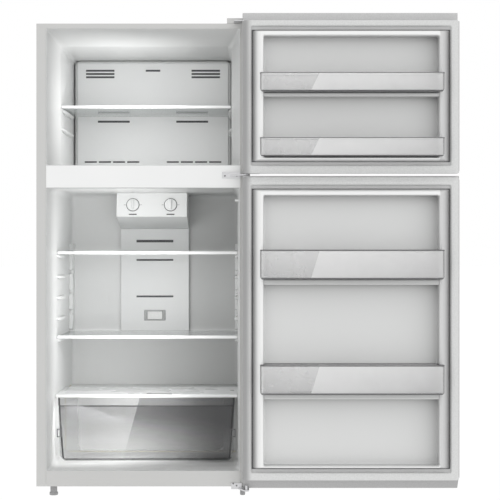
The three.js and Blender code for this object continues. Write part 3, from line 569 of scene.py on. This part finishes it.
# A closed outline of y and z points carried along x.
def prism(name, outlinePoints, x0, x1, material, width):
    count = len(outlinePoints)
    points = [(x, y, z) for x in (x0, x1) for y, z in outlinePoints]
    faces = [(k, (k + 1) % count, (k + 1) % count + count, k + count) for k in range(count)]
    faces += [tuple(range(count))[::-1], tuple(range(count, 2 * count))]
    made = meshObject(name, points, faces, material)
    shape = bmesh.new()
    shape.from_mesh(made.data)
    bmesh.ops.recalc_face_normals(shape, faces=shape.faces)
    shape.to_mesh(made.data)
    shape.free()
    return rounded(made, width)


# Each inner level of a profile becomes a parabola between points a reach before and after it.
def softened(levels, reaches, steps=5):
    rows = [np.concatenate([np.ravel(corners), [radius, height]]) for corners, radius, height in levels]
    reaches = np.broadcast_to(reaches, len(rows))
    result = [rows[0]]
    for before, row, after, reach in zip(rows, rows[1:], rows[2:], reaches[1:]):
        ends = []
        for other in (before, after):
            move = other - row
            length = math.hypot(np.abs(move[:-2]).max(), move[-1])
            ends.append(row + move * min(0.49, reach / max(length, 1e-9)))
        for share in np.linspace(0, 1, steps + 1):
            result.append((1 - share) ** 2 * ends[0] + 2 * share * (1 - share) * row + share**2 * ends[1])
    result.append(rows[-1])
    return [(row[:-2].reshape(-1, 2), row[-2], row[-1]) for row in result]


# A surface through a stack of outlines, across x and z at depths y, or across x and y at heights z.
def stack(name, levels, material, upright=False, start=False, end=False, flip=False, arc=6):
    rings = []
    for corners, radius, height in levels:
        flat = outline(corners, radius, arc)
        level = np.full(len(flat), height)
        order = (flat[:, 0], flat[:, 1], level) if upright else (flat[:, 0], level, flat[:, 1])
        rings.append(np.stack(order, 1))
    count = len(rings[0])
    here = np.arange(count)
    after = (here + 1) % count
    faces = []
    for row in range(len(rings) - 1):
        low, high = row * count, (row + 1) * count
        faces.extend(np.stack([low + here, low + after, high + after, high + here], 1).tolist())
    if start:
        faces.append(here[::-1].tolist())
    if end:
        faces.append(((len(rings) - 1) * count + here).tolist())
    made = meshObject(name, np.concatenate(rings), faces, material, flip)
    return made


# The steel cabinet and the plain parts keep their shape and gain rounded edges.
edges = {
    "cabinet_shell": 0.0005,
    "mullion_cover": 0.0008,
    "front_base_rail": 0.0008,
    "air_duct_panel": 0.002,
    "control_housing": 0.003,
    "shelf_support_left": 0.0015,
    "shelf_support_right": 0.0015,
    "crisper_cover_frame": 0.0012,
    "lamp_lens": 0.0008,
    "top_hinge_bracket": 0.0006,
    "top_hinge_cover": 0.0015,
    "middle_hinge_bracket": 0.0008,
    "bottom_hinge_bracket": 0.0008,
    "freezer_door_skin": 0.0004,
    "fridge_door_skin": 0.0004,
    "freezer_door_top_cap": 0.0015,
    "freezer_door_bottom_cap": 0.0015,
    "fridge_door_top_cap": 0.0015,
    "levelling_foot_left": 0.0008,
    "levelling_foot_right": 0.0008,
    "humidity_slider": 0.0008,
    "machine_cover": 0.0003,
}
for node, width in edges.items():
    refine(node, width)
for node in ("levelling_foot_left", "levelling_foot_right"):
    bpy.data.objects[node + "_shaped"].data.materials[0] = materials["foot"]
bpy.data.objects["lamp_lens_shaped"].data.materials[0] = materials["lens"]
for shelf in ("freezer_shelf", "upper_shelf", "lower_shelf"):
    refine(shelf + "_trim", 0.0035, 4)
    refine(shelf + "_glass", 0.0006, 2)
refine("crisper_cover_glass", 0.0006, 2, materials["frost"])
print("plain parts shaped")

shellLow, shellHigh = box("cabinet_shell")
middleX = (shellLow[0] + shellHigh[0]) / 2
front = shellLow[1]
railTop = box("front_base_rail")[1][2]
mullionLow, mullionHigh = (corner[2] for corner in box("mullion_cover"))
roomShade = {
    "left": (0.84, 0.845, 0.84),
    "right": (0.56, 0.565, 0.56),
    "mouth": (0.6, 0.605, 0.6),
    "reach": (0.0, 0.16),
    "inset": 0.04,
}


# Painted shade: a room's plastic greys towards its mouth and, along its back, towards the hinge side.
def roomWhite(name, look):
    shader = Shader(name)
    low, high = box("fridge_liner")
    across, depth = shader.axis("X"), shader.axis("Y")
    cloud = shader.noise(3.0, 2.0)
    side = across.rise(low[0] + look["inset"], high[0] - look["inset"])
    wall = shader.blend(side, look["left"], look["right"])
    start, stop = (low[1] + reach for reach in look["reach"])
    grain = shader.bump(shader.noise(whiteLook["grainScale"], 1.0), whiteLook["grainDepth"])
    shader.set(
        Base_Color=shader.blend(depth.rise(start, stop) - 0.03 * cloud, look["mouth"], wall),
        Roughness=whiteLook["roughness"] - 0.05 + 0.1 * shader.noise(60.0),
        Normal=shader.bump(shader.noise(whiteLook["waveScale"], 0.0), whiteLook["waveDepth"], normal=grain),
    )
    return shader.material


white = roomWhite("Room liner", roomShade)

fridgeRoom = {
    "wall": 0.002,
    "mouthInset": 0.0022,
    "draft": 0.008,
    "flare": 0.04,
    "floorRise": 0.006,
    "ceilingDrop": 0.001,
    "mouthRadius": 0.005,
    "roomRadius": 0.018,
    "mouthSoft": 0.01,
}
freezerRoom = {
    "wall": 0.002,
    "mouthInset": 0.0022,
    "draft": 0.031,
    "flare": 0.127,
    "ceilingDrop": 0.043,
    "lipDrop": 0.0168,
    "mouthDrop": 0.019,
    "mouthRadius": 0.006,
    "roomRadius": 0.016,
    "mouthSoft": 0.008,
}
humpLook = {"depth": 0.18, "drop": 0.007}
mouthStep = 0.0012


# A room is a stack of rounded rectangles from its lip through the flared mouth to the back. The
# heights are the lip's, the mouth's and the room's, each from low to high.
def roomLiner(name, node, room, heights):
    low, high = box(node)
    lip = (high[0] - low[0]) / 2
    mouth = lip - room["mouthInset"]
    wall = mouth - room["draft"]
    back = high[1] - room["wall"]
    atLip, atMouth, (floor, ceiling) = heights

    def level(reach, z0, z1, radius, y):
        return rectangle(middleX - reach, middleX + reach, z0, z1), radius, y

    levels = [
        level(lip, *atLip, 0.001, front),
        level(mouth, *atMouth, room["mouthRadius"], front),
        level(wall, floor, ceiling, room["roomRadius"], front + room["flare"]),
        level(wall, floor, ceiling, room["roomRadius"], back),
        level(wall - 0.05, floor + 0.05, ceiling - 0.05, 0.02, back),
    ]
    made = stack(name, softened(levels, [0, 0.0015, room["mouthSoft"], 0.02, 0], 6), white, end=True, arc=8)
    thicken(made, 0.0015)
    evenNormals(made)
    fit(made, "cabinet", [node])
    return wall, floor, back


fridgeHeights = [
    (railTop, mullionLow),
    (railTop + mouthStep, mullionLow - mouthStep),
    (railTop + fridgeRoom["floorRise"], mullionLow - fridgeRoom["ceilingDrop"]),
]
fridgeWall, floor, back = roomLiner("fridgeLiner", "fridge_liner", fridgeRoom, fridgeHeights)
humpTop = box("crisper_cover_frame")[1][2] - humpLook["drop"]
low = (middleX - fridgeWall - 0.001, back - humpLook["depth"], floor - 0.001)
high = (middleX + fridgeWall + 0.001, back + 0.001, humpTop)
hump = softBox("linerHump", low, high, 0.009, white, 6)
fit(hump, "cabinet")

ledgeLook = {"reach": 0.014, "height": 0.015, "length": 0.17, "setback": 0.006, "steps": 28, "around": 10}


# A ledge swells out of the wall: its section is half an oval, scaled by a flat-topped curve along it.
def ledge(name, side, wall, y0, top, look):
    along = np.linspace(0, 1, look["steps"] + 1)
    swell = (1 - np.abs(2 * along - 1) ** 5) ** 0.6
    angle = np.linspace(0, math.pi, look["around"] + 1)
    reach = np.outer(swell, np.sin(angle) ** 0.6) * look["reach"]
    drop = (1 - np.cos(angle)[None]) / 2 * (look["height"] * (0.25 + 0.75 * swell[:, None]))
    x = middleX + side * (wall + 0.0006 - reach)
    y = np.broadcast_to((y0 + along * look["length"])[:, None], x.shape)
    z = top - drop
    points = np.stack([x, y, z], 2).reshape(-1, 3)
    wide = len(angle)
    faces = []
    for row in range(len(along) - 1):
        for column in range(wide):
            after = (column + 1) % wide
            a, b = row * wide + column, row * wide + after
            faces.append((a, a + wide, b + wide, b))
    faces.append(tuple(range(wide)))
    faces.append(tuple(range(len(points) - 1, len(points) - 1 - wide, -1)))
    made = meshObject(name, points, faces, white, flip=side > 0)
    return fit(evenNormals(made), "cabinet")


lowShelfZ = box("lower_shelf_trim")[0][2]
highShelfZ = box("upper_shelf_trim")[0][2]
ledgeFront = box("lower_shelf_trim")[0][1] + ledgeLook["setback"]
for level in range(5):
    shelfZ = lowShelfZ + (highShelfZ - lowShelfZ) * level / 4
    for side in (-1, 1):
        ledge(f"fridgeLedge{level}{'LR'[side > 0]}", side, fridgeWall, ledgeFront, shelfZ, ledgeLook)

mouthTop = shellHigh[2] - freezerRoom["mouthDrop"]
freezerHeights = [
    (mullionHigh, shellHigh[2] - freezerRoom["lipDrop"]),
    (mullionHigh + mouthStep, mouthTop),
    (mullionHigh + mouthStep, mouthTop - freezerRoom["ceilingDrop"]),
]
freezerWall = roomLiner("freezerLiner", "freezer_liner", freezerRoom, freezerHeights)[0]
freezerShelfLow = box("freezer_shelf_trim")[0]
freezerLedges = dict(ledgeLook, length=0.27, height=0.014, setback=0.02, apart=0.07)
ledgeFront = freezerShelfLow[1] + freezerLedges["setback"]
for row in (0, 1):
    for side in (-1, 1):
        top = freezerShelfLow[2] - 0.0003 - row * freezerLedges["apart"]
        ledge(f"freezerLedge{row}{'LR'[side > 0]}", side, freezerWall, ledgeFront, top, freezerLedges)
refine("evaporator_cover", 0.002, 3)
print("liners shaped")

ridges = {"freezer_door": ["freezer_bin_upper"], "fridge_door": ["fridge_bin_lower", "fridge_bin_upper"]}
ridgeThick = {"freezer_door": 0.013, "fridge_door": 0.019}
doorLook = {
    "start": 0.04,
    "flange": 0.06,
    "frameInset": 0.0357,
    "frameEnd": 0.032,
    "grooveWide": 0.0045,
    "grooveDeep": 0.0008,
    "slope": 0.026,
    "crest": 0.095,
    "crestWide": 0.009,
    "crestEnd": 0.009,
    "rim": 0.044,
    "rimTop": 0.054,
    "floor": 0.05,
    "ridgeReach": 0.088,
}
doorShade = {
    "panel": (0.72, 0.725, 0.72),
    "flange": (0.62, 0.62, 0.62),
    "deep": (0.2, 0.2, 0.2),
    "base": (0.42, 0.42, 0.42),
    "near": 0.42,
    "nearReach": 0.012,
    "far": 0.16,
    "farReach": 0.06,
    "side": 0.5,
    "sideReach": 0.028,
    "freeEdge": (0.6, 0.6, 0.6),
    "light": 0.75,
    "lightReach": 0.022,
}


# 1 at a distance of 0, and half as much again with every reach.
def halved(distance, reach):
    return distance.maths("POWER", 0.5, distance.maths("MAXIMUM", distance, 0.0) / reach)


# Painted shade and light: the sunken panels are greyer than the frame; each darkens, by halves, below
# the ridge over it and towards the free edge, and is painted lighter beside the hinge side. The flange and
# the frame's slope, darker towards its base, are painted shade too, and its crest is painted greyer at the
# free edge.
def doorWhite(door, outer, panel, look):
    shader = Shader(door + " liner")
    across, depth, height = shader.axis("X"), outer - shader.axis("Y"), shader.axis("Z")
    tops = [panel[1]] + [box(name)[0][2] - ridgeThick[door] for name in ridges[door]]
    dark = look["side"] * halved(panel[0] - across, look["sideReach"])
    for top in tops:
        below = top - height
        inside = below.maths("GREATER_THAN", below, 0.0)
        near = look["near"] * halved(below, look["nearReach"])
        far = look["far"] * halved(below, look["farReach"])
        dark = dark + inside * (near + far)
    cloud = shader.noise(3.0)
    light = look["light"] * halved(across - panel[2], look["lightReach"])
    plain = shader.blend(light, look["panel"], whiteLook["colour"])
    floor = shader.blend(dark.maths("MINIMUM", dark + 0.04 * cloud, 1.0), plain, look["deep"])
    free = across.rise(panel[0] - 0.001, panel[0] + 0.003)
    crest = shader.blend(free, whiteLook["colour"], look["freeEdge"])
    rising = shader.blend(depth.rise(0.0605, 0.088), look["base"], crest)
    slope = shader.blend(depth.rise(0.0601, 0.0606), look["flange"], rising)
    grain = shader.bump(shader.noise(whiteLook["grainScale"], 1.0), whiteLook["grainDepth"])
    shader.set(
        Base_Color=shader.blend(depth.rise(0.053, 0.057), floor, slope),
        Roughness=whiteLook["roughness"] - 0.05 + 0.1 * shader.noise(60.0),
        Normal=shader.bump(shader.noise(whiteLook["waveScale"], 0.0), whiteLook["waveDepth"], normal=grain),
    )
    return shader.material


# The liner is a stack from its edge over a groove, up the frame's slope and down to the panel.
def doorLiner(door, look):
    linerLow, linerHigh = box(door + "_liner")
    outer = box(door + "_skin")[1][1]

    def level(inset, lowInset, highInset, radius, depth):
        across = (linerLow[0] + inset, linerHigh[0] - inset)
        return rectangle(*across, linerLow[2] + lowInset, linerHigh[2] - highInset), radius, outer - depth

    base, end = look["frameInset"], look["frameEnd"]
    groove = look["grooveWide"]
    slope = base + look["slope"]
    rise = end + look["crestEnd"]
    inner = slope + look["crestWide"]
    levels = softened(
        [
            level(0, 0, 0, 0.003, look["start"]),
            level(0, 0, 0, 0.003, look["flange"]),
            level(base - groove, end - groove, end - groove, 0.004, look["flange"]),
            level(base - groove, end - groove, end - groove, 0.004, look["flange"] - look["grooveDeep"]),
            level(base, end, end, 0.004, look["flange"] - look["grooveDeep"]),
            level(base + 0.001, end + 0.001, end + 0.001, 0.004, look["flange"]),
            level(slope, rise, rise, 0.005, look["crest"]),
            level(inner, look["rim"], look["rimTop"], 0.006, look["crest"]),
            level(inner + 0.002, look["rim"] + 0.002, look["rimTop"] + 0.002, 0.006, look["floor"]),
            level(inner + 0.03, look["rim"] + 0.03, look["rimTop"] + 0.03, 0.004, look["floor"]),
        ],
        [0, 0.0015, 0.0003, 0.0003, 0.0003, 0.0005, 0.006, 0.004, 0.006, 0],
        5,
    )
    panel = (linerHigh[0] - inner, linerHigh[2] - look["rimTop"], linerLow[0] + inner)
    made = stack(door + "Liner", levels, doorWhite(door, outer, panel, doorShade), end=True)
    thicken(made, 0.0012)
    evenNormals(made)
    fit(made, door, [door + "_liner"])
    return linerLow, linerHigh, outer, inner


gasketShape = {"wing": 0.011, "wide": 0.018, "low": 0.0603, "high": 0.0717, "radius": 0.006}


# The gasket is a closed section, a thin wing that rises to a flat lip, carried round a rectangle.
def doorGasket(door, outer, look):
    low, high = box(door + "_gasket")

    # The top stays under the top hinge's plate, which passes over it when the door is shut.
    def level(inset, depth):
        top = min(high[2] - inset, shellHigh[2] - 0.0005)
        return rectangle(low[0] + inset, high[0] - inset, low[2] + inset, top), look["radius"], outer - depth

    wide = look["wide"]
    section = [
        (-look["wing"], look["low"]),
        (-look["wing"], look["low"] + 0.0012),
        (0.002, look["high"] - 0.002),
        (0.006, look["high"]),
        (wide - 0.004, look["high"]),
        (wide - 0.001, look["high"] - 0.003),
        (wide - 0.002, look["low"] + 0.003),
        (wide, look["low"] + 0.001),
        (wide, look["low"]),
        (-look["wing"], look["low"]),
    ]
    levels = softened([level(*row) for row in section], 0.0016, 3)
    made = stack(door + "Gasket", levels, materials["gasket_vinyl"], arc=4)
    evenNormals(made)
    fit(made, door, [door + "_gasket"])


grooveShadowLook = {"side": (0.0305, 0.0357), "end": (0.0308, 0.0322), "dash": (0.014, 0.0045), "height": 0.0008}


# A dark strip of painted shadow runs in the groove round the frame's base, wider at the sides, with a dash at
# each corner.
def doorGrooveShadow(door, outer, look):
    low, high = box(door + "_liner")
    near, far = outer - 0.06 - look["height"], outer - 0.0598

    def level(place, y):
        side, end = look["side"][place], look["end"][place]
        return rectangle(low[0] + side, high[0] - side, low[2] + end, high[2] - end), 0.001, y

    levels = [level(0, far), level(0, near), level(1, near), level(1, far), level(0, far)]
    made = stack(door + "Seam", levels, materials["seam"], arc=2)
    fit(made, door)
    long, tall = look["dash"]
    for side in (0, 1):
        for end in (0, 1):
            x = (low[0] + look["side"][0], high[0] - look["side"][0] - long)[side]
            z = (low[2] + look["end"][0], high[2] - look["end"][0] - tall)[end]
            start, stop = (x, near - 0.0004, z), (x + long, far, z + tall)
            dash = softBox(f"{door}Dash{side}{end}", start, stop, 0.0004, materials["dark_plastic"], 2)
            fit(dash, door)


binLook = {"wall": 0.0022, "corner": 0.008, "foot": 0.006, "rim": 0.004, "step": 0.014, "shoulder": 0.098}


# A bin is a stack of one outline, narrow behind and wide in front, closed below and open above.
def doorBin(name, outer, look):
    low, high = box(name)
    step = look["step"]
    shoulder = outer - look["shoulder"]

    def corners(inset):
        x0, x1 = low[0] + inset, high[0] - inset
        y0, y1 = low[1] + inset, high[1] - inset
        return [
            (x0, y0),
            (x1, y0),
            (x1, shoulder - inset),
            (x1 - step, shoulder - inset),
            (x1 - step, y1),
            (x0 + step, y1),
            (x0 + step, shoulder - inset),
            (x0, shoulder - inset),
        ]

    foot, rim = look["foot"], look["rim"]
    levels = softened(
        [
            (corners(foot), look["corner"], low[2]),
            (corners(0.001), look["corner"], low[2] + foot),
            (corners(0.001), look["corner"], high[2] - rim),
            (corners(0.0), look["corner"], high[2] - rim + 0.0008),
            (corners(0.0), look["corner"], high[2]),
        ],
        [0, 0.004, 0.0004, 0.0004, 0],
        4,
    )
    made = keepSpan(stack(name + "Shaped", levels, binSheet, upright=True, start=True, arc=4))
    thicken(made, look["wall"])
    evenNormals(made)
    fit(made, name, [name])


bins = {
    "freezer_door": ["freezer_bin_lower", "freezer_bin_upper"],
    "fridge_door": ["fridge_bin_lower", "fridge_bin_upper"],
}
for door in ridges:
    linerLow, linerHigh, outer, inner = doorLiner(door, doorLook)
    doorGasket(door, outer, gasketShape)
    doorGrooveShadow(door, outer, grooveShadowLook)
    for index, above in enumerate(ridges[door]):
        top = box(above)[0][2] - 0.0003
        low = (linerLow[0] + inner - 0.001, outer - doorLook["ridgeReach"], top - ridgeThick[door])
        high = (linerHigh[0] - inner + 0.001, outer - doorLook["floor"] + 0.001, top)
        ridge = softBox(f"{door}Ridge{index}", low, high, 0.005, white)
        fit(ridge, door)
    for name in bins[door]:
        doorBin(name, outer, binLook)


# The lower door's foot slants back under its inside edge; it is greyer than the door caps as painted shade.
def doorFoot(door, look):
    low, high = box(door + "_bottom_cap")
    innerLow = box(door + "_liner")[0][2]
    outer = box(door + "_skin")[1][1]
    depths = (0.0013, look["toe"], look["heel"], look["seat"], look["seat"], 0.0013)
    heights = (low[2], low[2], innerLow - 0.0003, innerLow + 0.0003, high[2], high[2])
    profile = [(outer - depth, height) for depth, height in zip(depths, heights)]
    foot = prism(door + "Foot", profile, low[0], high[0], materials["foot cap"], 0.0012)
    fit(foot, door, [door + "_bottom_cap"])
    skin = bpy.data.objects[door + "_skin_shaped"].data
    for vertex in skin.vertices:
        if abs(vertex.co.z - low[2]) < 0.0004 and outer - vertex.co.y > look["toe"]:
            vertex.co.y = outer - look["toe"]


doorFoot("fridge_door", {"toe": 0.014, "heel": 0.0448, "seat": 0.0395})
print("doors shaped")

drawerLook = {
    "wall": 0.0024,
    "corner": 0.014,
    "foot": 0.016,
    "band": 0.029,
    "step": 0.0012,
    "taper": 0.042,
    "lean": 0.003,
}


# The drawer is a stack of outlines that are narrower behind, with a deeper band round its top.
def crisperDrawer(look):
    low, high = box("crisper_drawer")
    taper = look["taper"]

    def corners(inset):
        x0, x1 = low[0] + inset, high[0] - inset
        y0, y1 = low[1] + inset, high[1] - inset
        return [(x0, y0), (x1, y0), (x1 - taper, y1), (x0 + taper, y1)]

    foot = look["foot"]
    step = look["step"]
    band = high[2] - look["band"]
    levels = softened(
        [
            (corners(foot + look["lean"]), look["corner"], low[2]),
            (corners(step + look["lean"]), look["corner"], low[2] + foot),
            (corners(step), look["corner"], band),
            (corners(0), look["corner"], band + step),
            (corners(0), look["corner"], high[2]),
        ],
        [0, 0.014, 0.0005, 0.0005, 0],
        6,
    )
    made = keepSpan(stack("crisperDrawer", levels, paintedDrawerShade, upright=True, start=True))
    thicken(made, look["wall"])
    evenNormals(made)
    fit(made, "crisper_drawer", ["crisper_drawer"])


crisperDrawer(drawerLook)
clipLook = {"low": 0.187, "high": 0.217, "wide": 0.019, "bar": 0.0032}


# A clip on each side of the drawer's front: a small frame of four bars.
def drawerClips(look):
    low, high = box("crisper_drawer")
    bar, z0, z1 = look["bar"], look["low"], look["high"]
    for side, x0 in (("Left", low[0] - 0.001), ("Right", high[0] + 0.001 - look["wide"])):
        x1 = x0 + look["wide"]
        bars = [(x0, x1, z0, z0 + bar), (x0, x1, z1 - bar, z1)]
        bars += [(x0, x0 + bar, z0, z1), (x1 - bar, x1, z0, z1)]
        for index, (left, right, bottom, top) in enumerate(bars):
            start = (left, low[1] - 0.0012, bottom)
            stop = (right, low[1] + 0.001, top)
            clip = softBox(f"drawerClip{side}{index}", start, stop, 0.0004, materials["seam"], 2)
            fit(clip, "crisper_drawer")


drawerClips(clipLook)
print("drawer shaped")

dialLook = {
    "lean": 0.1634,
    "tall": 0.016,
    "radius": 0.0235,
    "grip": (0.009, 0.0155),
    "ring": (0.0238, 0.0262),
    "tick": (0.008, 0.0012),
    "mark": (0.03, 0.0045),
    "markDrop": 0.037,
}


# A piece drawn flat, z out of the face, is leaned back by an angle and set on its middle.
def onFace(made, centre, lean):
    x, y, z = pointsOf(made).T
    cos, sin = math.cos(lean), math.sin(lean)
    turned = np.stack([centre[0] + x, centre[1] + y * sin - z * cos, centre[2] + y * cos + z * sin], 1)
    made.data.vertices.foreach_set("co", turned.astype(np.float32).ravel())
    made.data.update()
    return made


def circle(radius, count=12):
    angle = np.arange(count) / count * 2 * math.pi
    return np.stack([np.cos(angle), np.sin(angle)], 1) * radius


# A dial is a turned cap with a low grip bar; round it lie a dark ring, painted shadow in the gap round the
# cap, two ticks and a mark.
def dial(node, look):
    low, high = box(node)
    lean, tall, radius = look["lean"], look["tall"], look["radius"]
    middle = (low + high) / 2
    half = (radius - 0.003) * math.cos(lean)
    out = low[1] + tall * math.cos(lean) + half * math.tan(lean)
    up = min(high[2] - half - tall * math.sin(lean), middle[2] + 0.004)
    seat = (middle[0], out, up)
    white, dark = materials["white_plastic"], materials["seam"]
    rows = [(circle(radius), 1, 0.0005), (circle(radius), 1, 0.006), (circle(radius * 0.6), 1, 0.0066)]
    levels = softened(rows, 0.0016, 4)
    cap = stack(node + "Cap", levels, white, upright=True, start=True, end=True, arc=4)
    evenNormals(onFace(cap, seat, lean))
    fit(cap, node, [node])
    wide, high = look["grip"]
    start, stop = (-wide / 2, 0.003 - radius, 0.005), (wide / 2, radius - 0.003, high)
    grip = softBox(node + "Grip", start, stop, 0.003, white)
    fit(onFace(grip, seat, lean), node)
    inner, outer = look["ring"]
    section = [(outer, -0.0004), (outer, 0.0006), (inner, 0.0006), (inner, -0.0004), (outer, -0.0004)]
    rows = [(circle(size), 1, height) for size, height in section]
    ring = stack(node + "Ring", rows, dark, upright=True, arc=4)
    fit(onFace(ring, seat, lean), node)
    long, thin = look["tick"]
    for side in (-1, 1):
        left, right = sorted((side * outer, side * (outer + long)))
        start, stop = (left, -thin / 2, -0.0004), (right, thin / 2, 0.0005)
        tick = softBox(f"{node}Tick{'LR'[side > 0]}", start, stop, 0.0002, dark, 2)
        fit(onFace(tick, seat, lean), "cabinet")
    wide, high = look["mark"]
    drop = look["markDrop"]
    start, stop = (-wide / 2, -drop - high / 2, -0.0004), (wide / 2, -drop + high / 2, 0.0004)
    mark = softBox(node + "Mark", start, stop, 0.0002, dark, 2)
    fit(onFace(mark, seat, lean), "cabinet")


for node in ("freezer_dial", "fridge_dial"):
    dial(node, dialLook)

# Each outlet is how far it lies below the panel's top, and how tall it is.
ductLook = {"outlets": ((0.049, 0.0095), (0.123, 0.007), (0.267, 0.007)), "half": 0.0725, "sunk": 0.0012}
lensLook = {"margin": (0.013, 0.006), "height": 0.0006}


# Dark sheets behind the outlets are painted shade inside them, and the lens sits in a grey surround.
def ductDetails(look, lens):
    low, high = box("air_duct_panel")
    for index, (drop, tall) in enumerate(look["outlets"]):
        z = high[2] + 0.0003 - drop
        start = (middleX - look["half"] - 0.001, low[1] + look["sunk"], z - tall / 2 - 0.001)
        stop = (middleX + look["half"] + 0.001, low[1] + 0.004, z + tall / 2 + 0.001)
        dark = softBox(f"outletShade{index}", start, stop, 0.0003, materials["dark_plastic"], 2)
        fit(dark, "cabinet")
    lensLow, lensHigh = box("lamp_lens")
    side, end = lens["margin"]
    y = low[1]
    rows = []
    for grow, height in ((1, 0.0005), (1, -lens["height"]), (0, -lens["height"]), (0, 0.0005), (1, 0.0005)):
        x = side * grow + 0.0005
        z = end * grow + 0.0005
        corners = rectangle(lensLow[0] - x, lensHigh[0] + x, lensLow[2] - z, lensHigh[2] + z)
        rows.append((corners, 0.004, y + height))
    surround = stack("lensSurround", rows, materials["recess"], arc=4, flip=True)
    fit(surround, "cabinet")


ductDetails(ductLook, lensLook)

# A dark strip in the crisper's cover is painted shade inside the slider's slot.
slotLook = {"long": 0.092, "wide": 0.008}
coverTop = box("crisper_cover_frame")[1][2]
sliderLow = box("humidity_slider")[0]
slotStart = (sliderLow[0] - 0.002, sliderLow[1] - 0.0004, coverTop - 0.004)
slotStop = (slotStart[0] + slotLook["long"], slotStart[1] + slotLook["wide"], coverTop + 0.0022)
slot = softBox("sliderSlot", slotStart, slotStop, 0.0003, materials["seam"], 2)
fit(slot, "crisper_cover")

coverLook = {
    "side": 0.018,
    "inset": 0.006,
    "shade": 0.004,
    "shadeLow": 0.035,
    "topDrop": 0.0105,
    "grow": 0.013,
    "sink": 0.006,
    "deep": 0.02,
    "radius": 0.02,
}


# A dark sheet behind the evaporator's cover is painted shade, and a soft shoulder, its grey painted shade
# along the cover's sides, closes the gap round the cover.
def coverDetails(look):
    low, high = box("evaporator_cover")
    side = look["side"]
    x0, x1 = low[0] + side, high[0] - side
    near = low[1] + look["shade"]
    start = (x0 + look["inset"], near, low[2] + look["shadeLow"])
    stop = (x1 - look["inset"], near + 0.002, high[2] - side)
    shade = softBox("coverShade", start, stop, 0.0003, materials["dark_plastic"], 2)
    fit(shade, "cabinet")
    top = high[2] - look["topDrop"]

    def level(grow, height):
        corners = rectangle(x0 - grow, x1 + grow, low[2] - 0.001, top + grow * 0.8)
        return corners, look["radius"], low[1] + height

    grow, sink, deep = look["grow"], look["sink"], look["deep"]
    section = [(grow, deep), (grow, sink + 0.004), (grow - 0.003, sink)]
    section += [(-0.001, sink), (-0.001, deep), (grow, deep)]
    rows = [level(*row) for row in section]
    shoulder = stack("coverShoulder", softened(rows, 0.002, 3), materials["shoulder"], arc=8)
    evenNormals(shoulder)
    fit(shoulder, "cabinet")


coverDetails(coverLook)

screws = {
    "middleScrew0": (-0.075, 1.123),
    "middleScrew1": (-0.033, 1.123),
    "bottomScrew0": (-0.046, 0.0435),
    "bottomScrew1": (-0.034, 0.0365),
}


# A screw head stands on the bracket's front: a low turned dome.
def screwHead(name, x, z, y):
    rows = [(circle(0.003, 10), 1, 0.0), (circle(0.003, 10), 1, 0.0008), (circle(0.0012, 10), 1, 0.0016)]
    levels = softened(rows, 0.0006, 2)
    made = stack(name, levels, materials["seam"], upright=True, start=True, end=True, arc=3)
    fit(onFace(made, (x, y, z), 0.0), "cabinet")


plateFront = front - 0.0033
for name, (x, z) in screws.items():
    screwHead(name, x, z, plateFront)

# A bushing and a stop bracket lie under the freezer door beside the pin, above the hinge's arm.
armTop = box("fridge_door_skin")[1][2] + 0.0078
doorUnder = box("freezer_door_skin")[0][2]
start, end = (0.0015, front - 0.066, armTop), (0.013, front - 0.048, doorUnder - 0.0002)
bushing = softBox("hingeBushing", start, end, 0.0008, materials["dark_plastic"])
fit(bushing, "freezer_door")
start, end = (0.013, front - 0.062, armTop), (0.046, front - 0.04, doorUnder + 0.0004)
stop = softBox("doorStop", start, end, 0.0008, materials["recess"])
fit(stop, "freezer_door")
print("controls shaped")

stageLook = {"reach": 60.0, "colour": (0.02, 0.02, 0.02), "glow": 1.0}


# The floor glows evenly, so it is as pale as the light around it and has no edge.
def floorStage(look):
    reach = look["reach"]
    points = [(-reach, -reach, 0), (reach, -reach, 0), (reach, reach, 0), (-reach, reach, 0)]
    shader = Shader("Floor")
    shader.set(Base_Color=look["colour"])
    shader.surface.inputs["Specular IOR Level"].default_value = 0.0
    shader.surface.inputs["Emission Color"].default_value = (1, 1, 1, 1)
    shader.surface.inputs["Emission Strength"].default_value = look["glow"]
    made = meshObject("Floor", points, [(0, 1, 2, 3)], shader.material)


lights = {
    "worldStrength": 1.0,
    "key": {"where": (1.9, -5.2, 3.0), "aim": (-0.1, 0.0, 0.9), "size": (2.4, 2.4), "power": 8.0},
    "fridge": {"where": (-0.42, -0.235, 0.66), "aim": (-0.5, 0.3, 0.66), "size": (0.32, 0.76), "power": 1.75},
    "freezer": {
        "where": (-0.4, -0.235, 1.38),
        "aim": (-0.45, 0.3, 1.38),
        "size": (0.34, 0.24),
        "power": 0.85,
    },
    "crisper": {"where": (-0.45, -0.1, 0.28), "aim": (-0.5, 0.12, 0.14), "size": (0.4, 0.08), "power": 0.9},
}


# Only the key light shows in shiny pieces; the ones inside the cabinet don't.
def areaLight(name, where, aim, size, power):
    light = bpy.data.lights.new(name, "AREA")
    light.shape = "RECTANGLE"
    light.size, light.size_y = size
    light.energy = power
    made = bpy.data.objects.new(name, light)
    made.location = where
    made.visible_glossy = name.startswith("Key")
    way = Vector(aim) - Vector(where)
    made.rotation_euler = way.to_track_quat("-Z", "Y").to_euler()
    bpy.context.scene.collection.objects.link(made)


world = bpy.data.worlds.new("World")
world.use_nodes = True
world.node_tree.nodes["Background"].inputs["Color"].default_value = (1, 1, 1, 1)
world.node_tree.nodes["Background"].inputs["Strength"].default_value = lights["worldStrength"]
bpy.context.scene.world = world
for name in ("key", "fridge", "freezer", "crisper"):
    areaLight(name.capitalize() + " light", **lights[name])

cameraLook = {"distance": 4.5, "height": 0.863, "lens": 92.3, "x": 0.013}
camera = bpy.data.cameras.new("Camera")
camera.sensor_width = 36
camera.lens = cameraLook["lens"]
cameraObject = bpy.data.objects.new("Camera", camera)
cameraObject.location = (cameraLook["x"], front - cameraLook["distance"], cameraLook["height"])
cameraObject.rotation_euler = (math.radians(90), 0, 0)
bpy.context.scene.collection.objects.link(cameraObject)
bpy.context.scene.camera = cameraObject
bpy.context.scene.view_settings.view_transform = "Standard"
floorStage(stageLook)
print("stage set")
